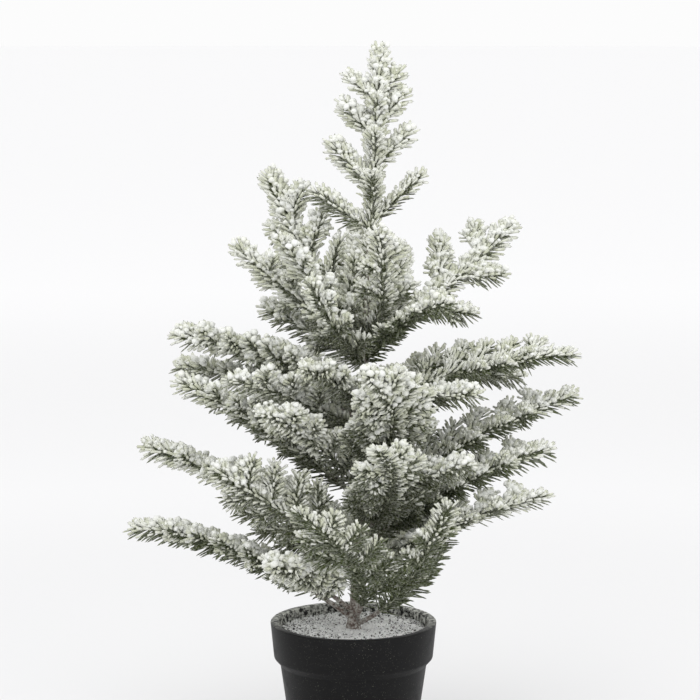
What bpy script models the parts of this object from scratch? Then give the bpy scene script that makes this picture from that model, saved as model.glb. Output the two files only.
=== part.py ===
"""A small snow-dusted table pine in a black pot: pot, fill, trunk, boughs and sprays of needles.

Metres, +Z up. The origin is the middle of the pot's flat underside and the front faces -Y.
Every bough grows from the trunk's axis along a curved spine to its tip. Its bare foot is a
tapering limb, and the rest of it is one spray: a slim stem with pairs of side sprigs, each a
slim core that needles stand out of.
"""

import math

import bmesh
import bpy
import numpy as np
from mathutils.bvhtree import BVHTree

SEED = 41
GAP = 0.0003  # kept between neighbouring solids
UP = np.array([0.0, 0.0, 1.0])

# Pot: a plain tapered tub with a tall rim band.
POT_HEIGHT = 0.111
RIM_RADIUS = 0.060
BAND_HEIGHT = 0.026
BAND_FOOT_RADIUS = 0.0575
BAND_CHAMFER = 0.005
BODY_TOP_RADIUS = 0.053
FOOT_RADIUS = 0.0415
FOOT_ROUNDING = 0.0015
WALL = 0.003
LIP_ROUNDING = 0.0008
POT_SEGMENTS = 40
MERGE = 1e-6
FILL_TOP = 0.1045

# Trunk: leans to the right on its way up, with a flare at its foot.
TRUNK_TOP = 0.391
TRUNK_LEAN = 0.012
TRUNK_FOOT_RADIUS = 0.0034
TRUNK_TOP_RADIUS = 0.0021
FLARE_RADIUS = 0.0026
FLARE_HEIGHT = 0.009
TRUNK_SIDES = 10
TRUNK_RINGS = 12
UPRIGHT = 0.1  # a run whose level share is less than this counts as upright
RING_CROWDING = 1.6  # above 1, the rings stand closer together toward the flare

# Limbs.
LIMB_FOOT_RADIUS = 0.0020
LIMB_TIP_RADIUS = 0.0015
LIMB_SIDES = 5
LIMB_STEP = 0.014
SPINE_STEP = 0.004
CURVE_SAMPLES = 60
CUTTER_REACH = 0.004  # what the clearance for the trunk adds beyond its ends

# Sprigs: where the first and last of a spray stand along its stem, how they lean out from it,
# shorten toward its tip and curve up and forward.
FIRST_SPRIG = 0.03
LAST_SPRIG = 0.75
SPRIG_ANGLE = math.radians(50)
ANGLE_SPREAD = math.radians(6)
LENGTH_SPREAD = 0.1
SPRIG_TAPER = 0.7
SPRIG_LIFT = 0.20
SPRIG_TURN = 0.05
SPRIG_SCALES = (1.0, 0.8, 0.6)  # a crowded sprig is shortened before it is skipped
SPRIG_ROOM = 0.0095  # least distance from a sprig's axis to another spray's
LIMB_ROOM = 0.0060  # least distance from a sprig's axis to a limb

# Needles, which stand out of a slim core in rows.
STEM_RADIUS = 0.0014
SPRIG_RADIUS = 0.0011
NEEDLE_REACH = 0.0100
NEEDLE_LEAN = math.radians(58)
NEEDLE_SIDES = 4
NEEDLE_ROW = 0.0104
TIP_NEEDLE = 0.0080
NEEDLE_SCALES = (1.0, 0.6, 0.1)  # a sprig's needles are shortened before it is skipped
NEEDLE_STEPS = 9  # lengths tried for one needle
NEEDLE_ROOM = 0.0006  # least distance from a needle to the middle between two sprays
FUSED_SHARE = 0.6  # least share of its sprigs' volume that a fused spray keeps

# Leader: the spray that tops the crown, flat to the front, with shorter sprigs before and behind.
LEADER_HEIGHT = 0.134
LEADER_LEAN = 0.006
# The leader's sprigs: height above its foot, turn, angle from its stem and length.
LEADER_SPRIGS = (
    (0.003, -90, 58, 0.044),
    (0.008, 90, 48, 0.045),
    (0.020, 0, 44, 0.028),
    (0.024, 180, 44, 0.030),
    (0.034, -90, 46, 0.038),
    (0.048, 90, 46, 0.032),
    (0.054, 0, 42, 0.022),
    (0.060, 180, 42, 0.024),
    (0.068, -90, 45, 0.029),
    (0.075, 90, 39, 0.027),
    (0.082, 0, 40, 0.016),
    (0.088, 180, 40, 0.018),
    (0.095, -90, 52, 0.022),
    (0.096, 90, 40, 0.020),
)

# Boughs by tier, from the top down. A bough's turn is measured from the front (0) toward the
# right (90), its reach from the pot's axis to its furthest needles. Arch and bow are how far the
# middle of its spine stands above and to the turning side of the straight line, bare is the
# length of its naked foot, and span that of its longest side sprig.
# name, root height, turn, reach, tip height, arch, bow, bare, pairs, span, roll
BOUGHS = (
    ("top_left", 0.306, -117, 0.070, 0.436, -0.010, 0.0, 0.0, 4, 0.045, 80),
    ("upper_left", 0.312, -77, 0.087, 0.387, -0.004, 0.0, 0.0, 4, 0.028, 40),
    ("upper_left_low", 0.300, -99, 0.068, 0.341, 0.000, 0.0, 0.0, 2, 0.022, -20),
    ("upper_front_left", 0.322, -42, 0.078, 0.397, -0.006, 0.0, 0.0, 3, 0.022, 0),
    ("upper_front", 0.296, -24, 0.077, 0.368, -0.006, 0.0, 0.0, 3, 0.022, 0),
    ("upper_centre", 0.310, 15, 0.062, 0.402, -0.006, 0.008, 0.0, 4, 0.030, 0),
    ("upper_right_front", 0.300, 49, 0.092, 0.349, 0.010, 0.0, 0.0, 4, 0.026, 20),
    ("upper_right_back", 0.322, 117, 0.133, 0.396, -0.010, 0.0, 0.0, 3, 0.048, 50),
    ("upper_back", 0.304, 178, 0.088, 0.392, -0.006, 0.0, 0.0, 4, 0.034, 0),
    ("left_snowy", 0.272, -94, 0.131, 0.320, 0.006, 0.0, 0.024, 5, 0.036, 15),
    ("left_back", 0.258, -111, 0.142, 0.290, 0.006, 0.0, 0.026, 4, 0.032, 10),
    ("left_front", 0.248, -56, 0.107, 0.297, 0.005, 0.0, 0.0, 4, 0.034, 30),
    ("front_left_high", 0.266, -25, 0.086, 0.306, 0.006, 0.0, 0.0, 3, 0.024, 0),
    ("front_snowy", 0.218, 3, 0.110, 0.309, 0.000, 0.022, 0.020, 5, 0.044, 0),
    ("right_front", 0.250, 61, 0.104, 0.284, 0.008, 0.0, 0.0, 4, 0.028, 0),
    ("right_long", 0.262, 90, 0.161, 0.304, 0.012, 0.0, 0.030, 5, 0.036, 15),
    ("right_back", 0.270, 115, 0.141, 0.279, 0.010, 0.0, 0.026, 4, 0.032, 10),
    ("back_right_high", 0.254, 155, 0.120, 0.280, 0.004, 0.0, 0.0, 4, 0.034, 0),
    ("back_left_high", 0.260, -150, 0.124, 0.296, 0.006, 0.0, 0.0, 4, 0.034, 0),
    ("mid_left_long", 0.200, -81, 0.129, 0.291, 0.008, 0.0, 0.028, 5, 0.036, 15),
    ("mid_left_front", 0.208, -43, 0.098, 0.276, 0.009, 0.0, 0.0, 4, 0.034, 15),
    ("mid_front", 0.172, 7, 0.116, 0.258, 0.002, 0.018, 0.024, 5, 0.040, 0),
    ("mid_right_long", 0.198, 97, 0.165, 0.275, 0.006, 0.0, 0.030, 5, 0.036, 8),
    ("mid_right_front", 0.192, 48, 0.112, 0.240, 0.004, 0.0, 0.0, 4, 0.030, 0),
    ("mid_back", 0.206, 178, 0.140, 0.268, 0.006, 0.0, 0.028, 4, 0.036, 0),
    ("low_left_long", 0.148, -94, 0.154, 0.239, 0.012, 0.0, 0.030, 5, 0.034, 10),
    ("low_left_front", 0.160, -59, 0.116, 0.236, -0.002, 0.0, 0.022, 4, 0.040, 60),
    ("low_right_long", 0.162, 90, 0.145, 0.238, 0.010, 0.0, 0.028, 5, 0.034, 8),
    ("low_right_front", 0.150, 77, 0.143, 0.210, 0.005, 0.0, 0.030, 4, 0.032, 10),
    ("low_back_left", 0.162, -138, 0.142, 0.205, 0.005, 0.0, 0.030, 5, 0.040, 20),
    ("low_back_right", 0.152, 146, 0.132, 0.206, 0.006, 0.0, 0.030, 4, 0.036, 0),
    ("foot_left_long", 0.112, -90, 0.163, 0.180, 0.014, 0.0, 0.036, 5, 0.034, 10),
    ("foot_left_front", 0.117, -38, 0.096, 0.170, 0.004, 0.0, 0.028, 4, 0.036, 0),
    ("foot_front", 0.1115, -21, 0.118, 0.215, -0.002, 0.024, 0.028, 5, 0.040, 0),
    ("foot_right_front", 0.1078, 40, 0.104, 0.215, -0.016, 0.004, 0.028, 5, 0.032, 0),
    ("foot_back", 0.114, 172, 0.138, 0.176, 0.012, 0.0, 0.034, 4, 0.036, 0),
)

BLACK_PLASTIC = ((0.017, 0.017, 0.018), 0.55)
DUSTED_FILL = ((0.36, 0.36, 0.35), 0.95)
BROWN_WRAP = ((0.085, 0.055, 0.046), 0.9)
FLOCKED_GREEN = ((0.30, 0.34, 0.28), 0.95)
SHARP_ANGLE = math.radians(40)


def clear_scene():
    for obj in list(bpy.data.objects):
        bpy.data.objects.remove(obj)


def material(name, finish):
    colour, roughness = finish
    made = bpy.data.materials.new(name)
    made.use_nodes = True
    shader = made.node_tree.nodes["Principled BSDF"]
    shader.inputs["Base Color"].default_value = (*colour, 1.0)
    shader.inputs["Roughness"].default_value = roughness
    shader.inputs["Metallic"].default_value = 0.0
    return made


def add_object(name, mesh, finish):
    obj = bpy.data.objects.new(name, mesh)
    mesh.materials.append(finish)
    bpy.context.scene.collection.objects.link(obj)
    return obj


def rounded(mesh):
    """Shades a round piece smooth between its sharp edges."""
    mesh.shade_smooth()
    mesh.set_sharp_from_angle(angle=SHARP_ANGLE)
    return mesh


def turned(name, profile, finish):
    """A solid turned round the Z axis from (radius, height) points, first and last on the axis."""
    work = bmesh.new()
    verts = [work.verts.new((radius, 0.0, height)) for radius, height in profile]
    edges = [work.edges.new(pair) for pair in zip(verts, verts[1:])]
    bmesh.ops.spin(
        work,
        geom=verts + edges,
        axis=(0, 0, 1),
        cent=(0, 0, 0),
        angle=math.tau,
        steps=POT_SEGMENTS,
        use_merge=True,
    )
    bmesh.ops.remove_doubles(work, verts=work.verts, dist=MERGE)
    bmesh.ops.recalc_face_normals(work, faces=work.faces)
    mesh = bpy.data.meshes.new(name)
    work.to_mesh(mesh)
    work.free()
    return add_object(name, rounded(mesh), finish)


def inner_radius(height):
    """The pot's inside radius, from the taper of its outside wall."""
    body_height = POT_HEIGHT - BAND_HEIGHT - BAND_CHAMFER
    slope = (BODY_TOP_RADIUS - FOOT_RADIUS) / body_height
    return FOOT_RADIUS - WALL + slope * height


def make_pot(finish):
    band_foot = POT_HEIGHT - BAND_HEIGHT
    profile = (
        (0.0, 0.0),
        (FOOT_RADIUS - FOOT_ROUNDING, 0.0),
        (FOOT_RADIUS, FOOT_ROUNDING),
        (BODY_TOP_RADIUS, band_foot - BAND_CHAMFER),
        (BAND_FOOT_RADIUS, band_foot),
        (RIM_RADIUS, POT_HEIGHT - LIP_ROUNDING),
        (RIM_RADIUS - LIP_ROUNDING, POT_HEIGHT),
        (inner_radius(POT_HEIGHT) + LIP_ROUNDING, POT_HEIGHT),
        (inner_radius(POT_HEIGHT), POT_HEIGHT - LIP_ROUNDING),
        (inner_radius(WALL), WALL),
        (0.0, WALL),
    )
    return turned("pot", profile, finish)


def make_fill(finish):
    foot = WALL + GAP
    profile = (
        (0.0, foot),
        (inner_radius(foot) - GAP, foot),
        (inner_radius(FILL_TOP) - GAP, FILL_TOP),
        (0.0, FILL_TOP),
    )
    return turned("fill", profile, finish)


def trunk_axis(height):
    share = (height - FILL_TOP) / (TRUNK_TOP - FILL_TOP)
    return np.array([TRUNK_LEAN * share, 0.0, height])


def trunk_radius(height):
    share = (height - FILL_TOP) / (TRUNK_TOP - FILL_TOP)
    taper = TRUNK_FOOT_RADIUS + (TRUNK_TOP_RADIUS - TRUNK_FOOT_RADIUS) * share
    return taper + FLARE_RADIUS * math.exp(-(height - FILL_TOP) / FLARE_HEIGHT)


def frames(points):
    """Unit direction and two cross directions at every point of a polyline."""
    along = np.gradient(points, axis=0)
    along /= np.linalg.norm(along, axis=1)[:, None]
    side = np.cross(UP, along[0])
    if np.linalg.norm(side) < UPRIGHT:
        side = np.cross((0.0, 1.0, 0.0), along[0])
    sides = []
    for direction in along:
        side = side - direction * (side @ direction)
        side = side / np.linalg.norm(side)
        sides.append(side)
    sides = np.array(sides)
    return along, sides, np.cross(along, sides)


def skin(name, rings, apex=None):
    """A closed mesh over rings of equal count, with a flat end or a point to close it."""
    count = len(rings[0])
    verts = [tuple(point) for ring in rings for point in ring]
    faces = [tuple(reversed(range(count)))]
    for row in range(len(rings) - 1):
        for i in range(count):
            low, near = row * count + i, row * count + (i + 1) % count
            if (row + i) % 2:
                faces += [(low, near, near + count), (low, near + count, low + count)]
            else:
                faces += [(low, near, low + count), (near, near + count, low + count)]
    last = (len(rings) - 1) * count
    if apex is None:
        faces.append(tuple(range(last, last + count)))
    else:
        verts.append(tuple(apex))
        faces += [(last + i, last + (i + 1) % count, last + count) for i in range(count)]
    mesh = bpy.data.meshes.new(name)
    mesh.from_pydata(verts, [], faces)
    return mesh


def tube(name, points, radii, sides):
    along, across, up = frames(points)
    angles = np.arange(sides) * math.tau / sides
    rings = [
        centre + radius * (np.outer(np.cos(angles), a) + np.outer(np.sin(angles), b))
        for centre, radius, a, b in zip(points, radii, across, up)
    ]
    return skin(name, rings)


def make_trunk(finish, name="trunk", swell=0.0, reach=0.0):
    """The trunk, or one that is thicker and longer by swell and reach."""
    low, high = FILL_TOP + GAP - reach, TRUNK_TOP + reach
    shares = np.linspace(0.0, 1.0, TRUNK_RINGS) ** RING_CROWDING
    heights = low + (high - low) * shares
    points = np.array([trunk_axis(height) for height in heights])
    radii = [trunk_radius(max(height, FILL_TOP)) + swell for height in heights]
    # Level rings, so that the foot is a flat cut.
    angles = np.arange(TRUNK_SIDES) * math.tau / TRUNK_SIDES
    circle = np.stack([np.cos(angles), np.sin(angles), 0 * angles], axis=1)
    mesh = skin(name, [point + radius * circle for point, radius in zip(points, radii)])
    return add_object(name, rounded(mesh), finish)


def make_cutter(finish):
    """The trunk and its clearance, which the feet of the boughs are cut by."""
    cutter = make_trunk(finish, "trunk_clearance", GAP, CUTTER_REACH)
    cutter.hide_render = True
    cutter.display_type = "WIRE"
    return cutter


def trunk_pieces():
    axis = [trunk_axis(height) for height in np.linspace(FILL_TOP, TRUNK_TOP, TRUNK_RINGS)]
    return [(a, b, trunk_radius(a[2])) for a, b in zip(axis, axis[1:])]


def run_of(points):
    """Length along a polyline at each of its points."""
    return np.r_[0.0, np.cumsum(np.linalg.norm(np.diff(points, axis=0), axis=1))]


def point_at(points, lengths, at):
    return np.stack([np.interp(at, lengths, points[:, k]) for k in range(3)], axis=-1)


def arc_points(start, middle, end, step):
    """Evenly spaced points along the quadratic curve that passes its control point by."""
    t = np.linspace(0.0, 1.0, CURVE_SAMPLES)[:, None]
    curve = start * (1 - t) ** 2 + 2 * middle * t * (1 - t) + end * t**2
    lengths = run_of(curve)
    count = max(3, int(round(lengths[-1] / step)) + 1)
    return point_at(curve, lengths, np.linspace(0.0, lengths[-1], count))


def spine_of(root_height, turn, reach, tip_height, arch, bow):
    """Points of a bough's spine, from the trunk's axis to its tip."""
    start = trunk_axis(root_height)
    angle = math.radians(turn)
    end = np.array([reach * math.sin(angle), -reach * math.cos(angle), tip_height])
    across = np.array([math.cos(angle), math.sin(angle), 0.0])
    middle = (start + end) / 2 + 2 * (bow * across + arch * UP)
    return arc_points(start, middle, end, SPINE_STEP)


def side_sprigs(spine, pairs, span, roll, draw):
    """Pairs of side sprigs along a spine: their points, roots on the spine."""
    along, across, up = frames(spine)
    lengths = run_of(spine)
    lean = math.radians(roll)
    made = []
    for number in range(2 * pairs):
        side = 1 if number % 2 else -1
        share = FIRST_SPRIG + (LAST_SPRIG - FIRST_SPRIG) * number / (2 * pairs - 1)
        at = share * lengths[-1]
        root = point_at(spine, lengths, at)
        ahead, flat, over = (point_at(way, lengths, at) for way in (along, across, up))
        flat = side * (flat * math.cos(lean) + over * math.sin(lean))
        angle = SPRIG_ANGLE + draw.uniform(-ANGLE_SPREAD, ANGLE_SPREAD)
        length = span * (1.0 - SPRIG_TAPER * share)
        length *= draw.uniform(1.0 - LENGTH_SPREAD, 1.0 + LENGTH_SPREAD)
        steps = max(2, int(round(length / NEEDLE_ROW)))
        t = np.linspace(0.0, 1.0, steps + 1)[:, None]
        out = ahead * math.cos(angle) + flat * math.sin(angle)
        curl = SPRIG_LIFT * over[2] * over + SPRIG_TURN * ahead
        made.append(root + length * (out * t + curl * t**2))
    return made


def segments(points, radius=0.0):
    return [(a, b, radius) for a, b in zip(points, points[1:])]


def distances(points, pieces):
    """Distance from each point to the nearest of the (start, end, radius) pieces, less its radius."""
    starts = np.array([piece[0] for piece in pieces])
    ends = np.array([piece[1] for piece in pieces])
    radii = np.array([piece[2] for piece in pieces])
    run = ends - starts
    offset = points[:, None, :] - starts[None]
    share = (offset * run).sum(-1) / (run * run).sum(-1)
    nearest = offset - np.clip(share, 0.0, 1.0)[..., None] * run
    return (np.linalg.norm(nearest, axis=-1) - radii).min(axis=1)


class Bough:
    """One bough: its spine, the length of its bare limb, and the sprigs of its spray."""

    def __init__(self, row, draw):
        self.name, root, turn, reach, tip, arch, bow, self.bare, pairs, span, roll = row
        self.spine = spine_of(root, turn, reach, tip, arch, bow)
        self.lengths = run_of(self.spine)
        self.limb_end = max(self.bare, self.trunk_clearance(root))
        self.stem = self.between(self.limb_end + GAP, self.lengths[-1] - TIP_NEEDLE, NEEDLE_ROW)
        self.sprigs = side_sprigs(self.stem, pairs, span, roll, draw)

    def trunk_clearance(self, root):
        """How far along the spine a stem's flat end comes clear of the trunk."""
        run = self.spine[1] - self.spine[0]
        level = math.hypot(run[0], run[1])
        return (trunk_radius(root) * math.hypot(level, run[2]) + STEM_RADIUS * abs(run[2])) / level

    def between(self, start, end, step):
        count = max(2, int(round((end - start) / step)) + 1)
        return point_at(self.spine, self.lengths, np.linspace(start, end, count))


class Leader(Bough):
    """The crown's top: a spray that carries on from the trunk's tip."""

    def __init__(self):
        self.name, self.bare = "leader", 0.0
        base = trunk_axis(TRUNK_TOP + GAP)
        tip = base + (LEADER_LEAN, 0.0, LEADER_HEIGHT - TIP_NEEDLE)
        self.stem = arc_points(base, (base + tip) / 2, tip, NEEDLE_ROW)
        self.sprigs = [self.sprig(*row) for row in LEADER_SPRIGS]

    def sprig(self, height, turn, angle, length):
        """A sprig that curls up a little from the stem."""
        root = point_at(self.stem, run_of(self.stem), height)
        turn = math.radians(turn)
        angle = math.radians(angle)
        out = np.array([math.sin(turn), -math.cos(turn), 0.0])
        way = out * math.sin(angle) + UP * math.cos(angle)
        steps = max(2, int(round(length / NEEDLE_ROW)))
        t = np.linspace(0.0, 1.0, steps + 1)[:, None]
        return root + length * (way * t + SPRIG_TURN * UP * t**2)


def choose_sprigs(boughs, limbs):
    """Shortens or skips each side sprig that would crowd another spray or touch a limb."""
    kept = {bough.name: segments(bough.stem) for bough in boughs}
    for bough in boughs:
        chosen = []
        for sprig in bough.sprigs:
            others = [piece for name, own in kept.items() if name != bough.name for piece in own]
            for scale in SPRIG_SCALES:
                points = sprig[0] + (sprig - sprig[0]) * scale
                outer = points[1:]
                roomy = distances(outer, others).min() > SPRIG_ROOM
                if roomy and distances(outer, limbs).min() > LIMB_ROOM:
                    chosen.append(points)
                    kept[bough.name] += segments(points)
                    break
        bough.sprigs = chosen
    return kept


def needled(name, points, core, reach, own_room, twist, first):
    """A sprig: a slim core, with every other point of its rings drawn out to a needle's tip.

    The rings before the first needled one are sunk in what the sprig grows from.
    """
    along, across, up = frames(points)
    rings = []
    for row, centre in enumerate(points):
        ring = []
        for i in range(NEEDLE_SIDES):
            angle = math.tau * i / NEEDLE_SIDES + twist
            out = across[row] * math.cos(angle) + up[row] * math.sin(angle)
            point = centre + out * core
            if row >= first and (row + i) % 2:
                needle = out * math.sin(NEEDLE_LEAN) + along[row] * math.cos(NEEDLE_LEAN)
                point = own_room(centre, needle, core, reach)
            ring.append(point)
        rings.append(ring)
    apex = own_room(points[-1], along[-1], 2 * core, max(TIP_NEEDLE, 2 * core))
    return skin(name, rings, apex)


def make_room(others, limbs):
    """A function that draws a needle out as far as it stays in its own spray's space."""

    def own_room(centre, needle, core, reach):
        for length in np.linspace(reach, core, NEEDLE_STEPS):
            point = centre + needle * length
            nearest = distances(point[None], others)[0]
            free = nearest > length + NEEDLE_ROOM
            if free and distances(point[None], limbs)[0] > 2 * GAP and above_pot(point):
                return point
        return centre + needle * core

    return own_room


def above_pot(point):
    over_pot = math.hypot(point[0], point[1]) < RIM_RADIUS + WALL
    return not over_pot or point[2] > POT_HEIGHT + 2 * GAP


def tree_of(mesh):
    verts = [vert.co for vert in mesh.vertices]
    return BVHTree.FromPolygons(verts, [tuple(face.vertices) for face in mesh.polygons])


def largest_body(mesh):
    """Drops loose scraps and sealed hollows, so that one closed body is left."""
    work = bmesh.new()
    work.from_mesh(mesh)
    waiting = set(work.faces)
    bodies = []
    while waiting:
        body, front = set(), [waiting.pop()]
        while front:
            face = front.pop()
            body.add(face)
            for edge in face.edges:
                for linked in edge.link_faces:
                    if linked in waiting:
                        waiting.discard(linked)
                        front.append(linked)
        bodies.append(body)
    keep = max(bodies, key=len)
    scraps = [face for body in bodies if body is not keep for face in body]
    bmesh.ops.delete(work, geom=scraps, context="FACES")
    work.to_mesh(mesh)
    work.free()


def applied(obj):
    """The object with its modifiers applied to its mesh."""
    graph = bpy.context.evaluated_depsgraph_get()
    mesh = bpy.data.meshes.new_from_object(obj.evaluated_get(graph))
    obj.modifiers.clear()
    obj.data = mesh
    largest_body(mesh)
    return obj


def volume(mesh):
    work = bmesh.new()
    work.from_mesh(mesh)
    found = work.calc_volume(signed=True)
    work.free()
    return found


def joined(name, meshes, finish):
    """One solid: the first mesh with the others fused to it by a Boolean union."""
    base = add_object(name, meshes[0], finish)
    group = bpy.data.collections.new(name + "_sprigs")
    bpy.context.scene.collection.children.link(group)
    for number, mesh in enumerate(meshes[1:]):
        group.objects.link(bpy.data.objects.new(f"{name}_sprig_{number}", mesh))
    least = FUSED_SHARE * sum(volume(mesh) for mesh in meshes)
    for solver in ("EXACT", "MANIFOLD"):
        base.data = meshes[0]
        union = base.modifiers.new("sprigs", "BOOLEAN")
        union.operation = "UNION"
        union.operand_type = "COLLECTION"
        union.collection = group
        union.solver = solver
        applied(base)
        if volume(base.data) > least:
            break
    for obj in list(group.objects):
        bpy.data.objects.remove(obj)
    bpy.data.collections.remove(group)
    return base


def make_spray(bough, kept, limbs, solids, finish, draw):
    others = [piece for name, own in kept.items() if name != bough.name for piece in own]
    own_room = make_room(others, limbs)
    meshes = []
    for number, points in enumerate([bough.stem] + bough.sprigs):
        core, first = (SPRIG_RADIUS, 2) if number else (STEM_RADIUS, 1)
        twist = draw.uniform(0.0, math.tau)
        for scale in NEEDLE_SCALES:
            reach = max(scale * NEEDLE_REACH, core)
            mesh = needled(bough.name, points, core, reach, own_room, twist, first)
            tree = tree_of(mesh)
            if not any(tree.overlap(solid) for solid in solids):
                meshes.append(mesh)
                break
        if not meshes:
            raise RuntimeError(f"the stem of {bough.name} meets another solid")
    name = bough.name if bough.name == "leader" else "spray_" + bough.name
    spray = joined(name, meshes, finish)
    solids.append(tree_of(spray.data))
    return spray


def make_limb(bough, cutter, finish):
    """The bare foot of a bough, fitted round the trunk."""
    points = bough.between(0.0, bough.limb_end, LIMB_STEP)
    radii = np.linspace(LIMB_FOOT_RADIUS, LIMB_TIP_RADIUS, len(points))
    mesh = tube("bough_" + bough.name, points, radii, LIMB_SIDES)
    limb = add_object(mesh.name, mesh, finish)
    cut = limb.modifiers.new("trunk", "BOOLEAN")
    cut.operation = "DIFFERENCE"
    cut.object = cutter
    cut.solver = "EXACT"
    return applied(limb)


def make_limbs(boughs, limbs, finish):
    """The bare feet of the boughs; their runs are added to limbs."""
    cutter = make_cutter(finish)
    for bough in boughs:
        if bough.bare:
            make_limb(bough, cutter, finish)
            limbs += segments(bough.between(0.0, bough.limb_end, LIMB_STEP), LIMB_FOOT_RADIUS)
    bpy.data.objects.remove(cutter)


def main():
    clear_scene()
    draw = np.random.default_rng(SEED)
    brown = material("brown_wrap", BROWN_WRAP)
    green = material("flocked_green", FLOCKED_GREEN)
    pot = make_pot(material("black_plastic", BLACK_PLASTIC))
    fill = make_fill(material("dusted_fill", DUSTED_FILL))
    trunk = make_trunk(brown)
    solids = [tree_of(obj.data) for obj in (pot, fill, trunk)]
    boughs = [Bough(row, draw) for row in BOUGHS]
    limbs = trunk_pieces()
    make_limbs(boughs, limbs, brown)
    boughs.append(Leader())
    kept = choose_sprigs(boughs, limbs)
    for bough in boughs:
        make_spray(bough, kept, limbs, solids, green, draw)


main()
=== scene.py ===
"""The looks of a small snow-dusted table pine in a black pot.

Laid out as an add-on and run as a script. Metres, +Z up, and the front faces -Y. Boughs, sprays
and sprigs grow by the same rule as the solids. Twigs, needles and snow are then carried out on
them, and bark, pot and fill finish the rest.
"""

import functools
import math

import bmesh
import bpy
import numpy as np
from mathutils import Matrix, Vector, noise


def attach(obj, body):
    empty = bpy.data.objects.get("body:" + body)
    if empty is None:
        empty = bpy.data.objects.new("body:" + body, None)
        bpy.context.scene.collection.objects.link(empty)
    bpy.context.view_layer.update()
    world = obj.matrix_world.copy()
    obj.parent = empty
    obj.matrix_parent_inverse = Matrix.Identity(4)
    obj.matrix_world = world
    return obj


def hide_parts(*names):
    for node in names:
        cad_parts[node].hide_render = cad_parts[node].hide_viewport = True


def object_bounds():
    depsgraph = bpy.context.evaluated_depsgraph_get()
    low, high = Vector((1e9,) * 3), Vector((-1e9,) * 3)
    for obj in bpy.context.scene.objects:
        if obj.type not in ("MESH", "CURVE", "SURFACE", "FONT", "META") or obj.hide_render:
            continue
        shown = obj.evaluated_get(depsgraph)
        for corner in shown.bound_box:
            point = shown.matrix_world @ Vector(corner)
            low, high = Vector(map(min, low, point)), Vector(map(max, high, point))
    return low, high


bl_info = {
    "name": "Snow-dusted Table Pine",
    "version": (1, 0, 0),
    "blender": (4, 5, 0),
    "location": "View3D > Sidebar > Pine",
    "description": "Makes the pot, fill, bark, twigs, needles and snow of a small table pine",
    "category": "Add Mesh",
}

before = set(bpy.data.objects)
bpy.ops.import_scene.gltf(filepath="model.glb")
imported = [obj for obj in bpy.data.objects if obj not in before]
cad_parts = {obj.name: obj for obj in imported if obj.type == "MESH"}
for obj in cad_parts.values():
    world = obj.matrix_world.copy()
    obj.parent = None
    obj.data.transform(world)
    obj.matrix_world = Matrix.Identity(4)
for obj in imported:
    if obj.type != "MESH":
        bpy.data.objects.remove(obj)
CAD_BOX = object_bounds()

BODY = "root"
SEED = 41
LOOKS_SEED = 7
UP = np.array([0.0, 0.0, 1.0])
MM = 0.001

# Pot and fill, as their solids have them.
POT_HEIGHT = 0.111
RIM_RADIUS = 0.060
BAND_HEIGHT = 0.026
BAND_FOOT_RADIUS = 0.0575
BAND_CHAMFER = 0.005
BODY_TOP_RADIUS = 0.053
FOOT_RADIUS = 0.0415
WALL = 0.003
FILL_TOP = 0.1045
GAP = 0.0003

# Trunk and limbs, as their solids have them.
TRUNK_TOP = 0.391
TRUNK_LEAN = 0.012
TRUNK_FOOT_RADIUS = 0.0034
TRUNK_TOP_RADIUS = 0.0021
FLARE_RADIUS = 0.0026
FLARE_HEIGHT = 0.009
TRUNK_PIECES = 12
UPRIGHT = 0.1
LIMB_FOOT_RADIUS = 0.0020
LIMB_TIP_RADIUS = 0.0015
LIMB_STEP = 0.014
SPINE_STEP = 0.004
CURVE_SAMPLES = 60

# Sprigs, by the rule of the solids.
FIRST_SPRIG = 0.03
LAST_SPRIG = 0.75
SPRIG_ANGLE = math.radians(50)
ANGLE_SPREAD = math.radians(6)
LENGTH_SPREAD = 0.1
SPRIG_TAPER = 0.7
SPRIG_LIFT = 0.20
SPRIG_TURN = 0.05
SPRIG_SCALES = (1.0, 0.8, 0.6)
SPRIG_ROOM = 0.0095
LIMB_ROOM = 0.0060
STEM_RADIUS = 0.0014
NEEDLE_ROW = 0.0104
TIP_NEEDLE = 0.0080

LEADER_HEIGHT = 0.134
LEADER_LEAN = 0.006
# The leader's sprigs: height above its foot, turn, angle from its stem and length.
LEADER_SPRIGS = (
    (0.003, -90, 58, 0.044),
    (0.008, 90, 48, 0.045),
    (0.020, 0, 44, 0.028),
    (0.024, 180, 44, 0.030),
    (0.034, -90, 46, 0.038),
    (0.048, 90, 46, 0.032),
    (0.054, 0, 42, 0.022),
    (0.060, 180, 42, 0.024),
    (0.068, -90, 45, 0.029),
    (0.075, 90, 39, 0.027),
    (0.082, 0, 40, 0.016),
    (0.088, 180, 40, 0.018),
    (0.095, -90, 52, 0.022),
    (0.096, 90, 40, 0.020),
)

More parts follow.
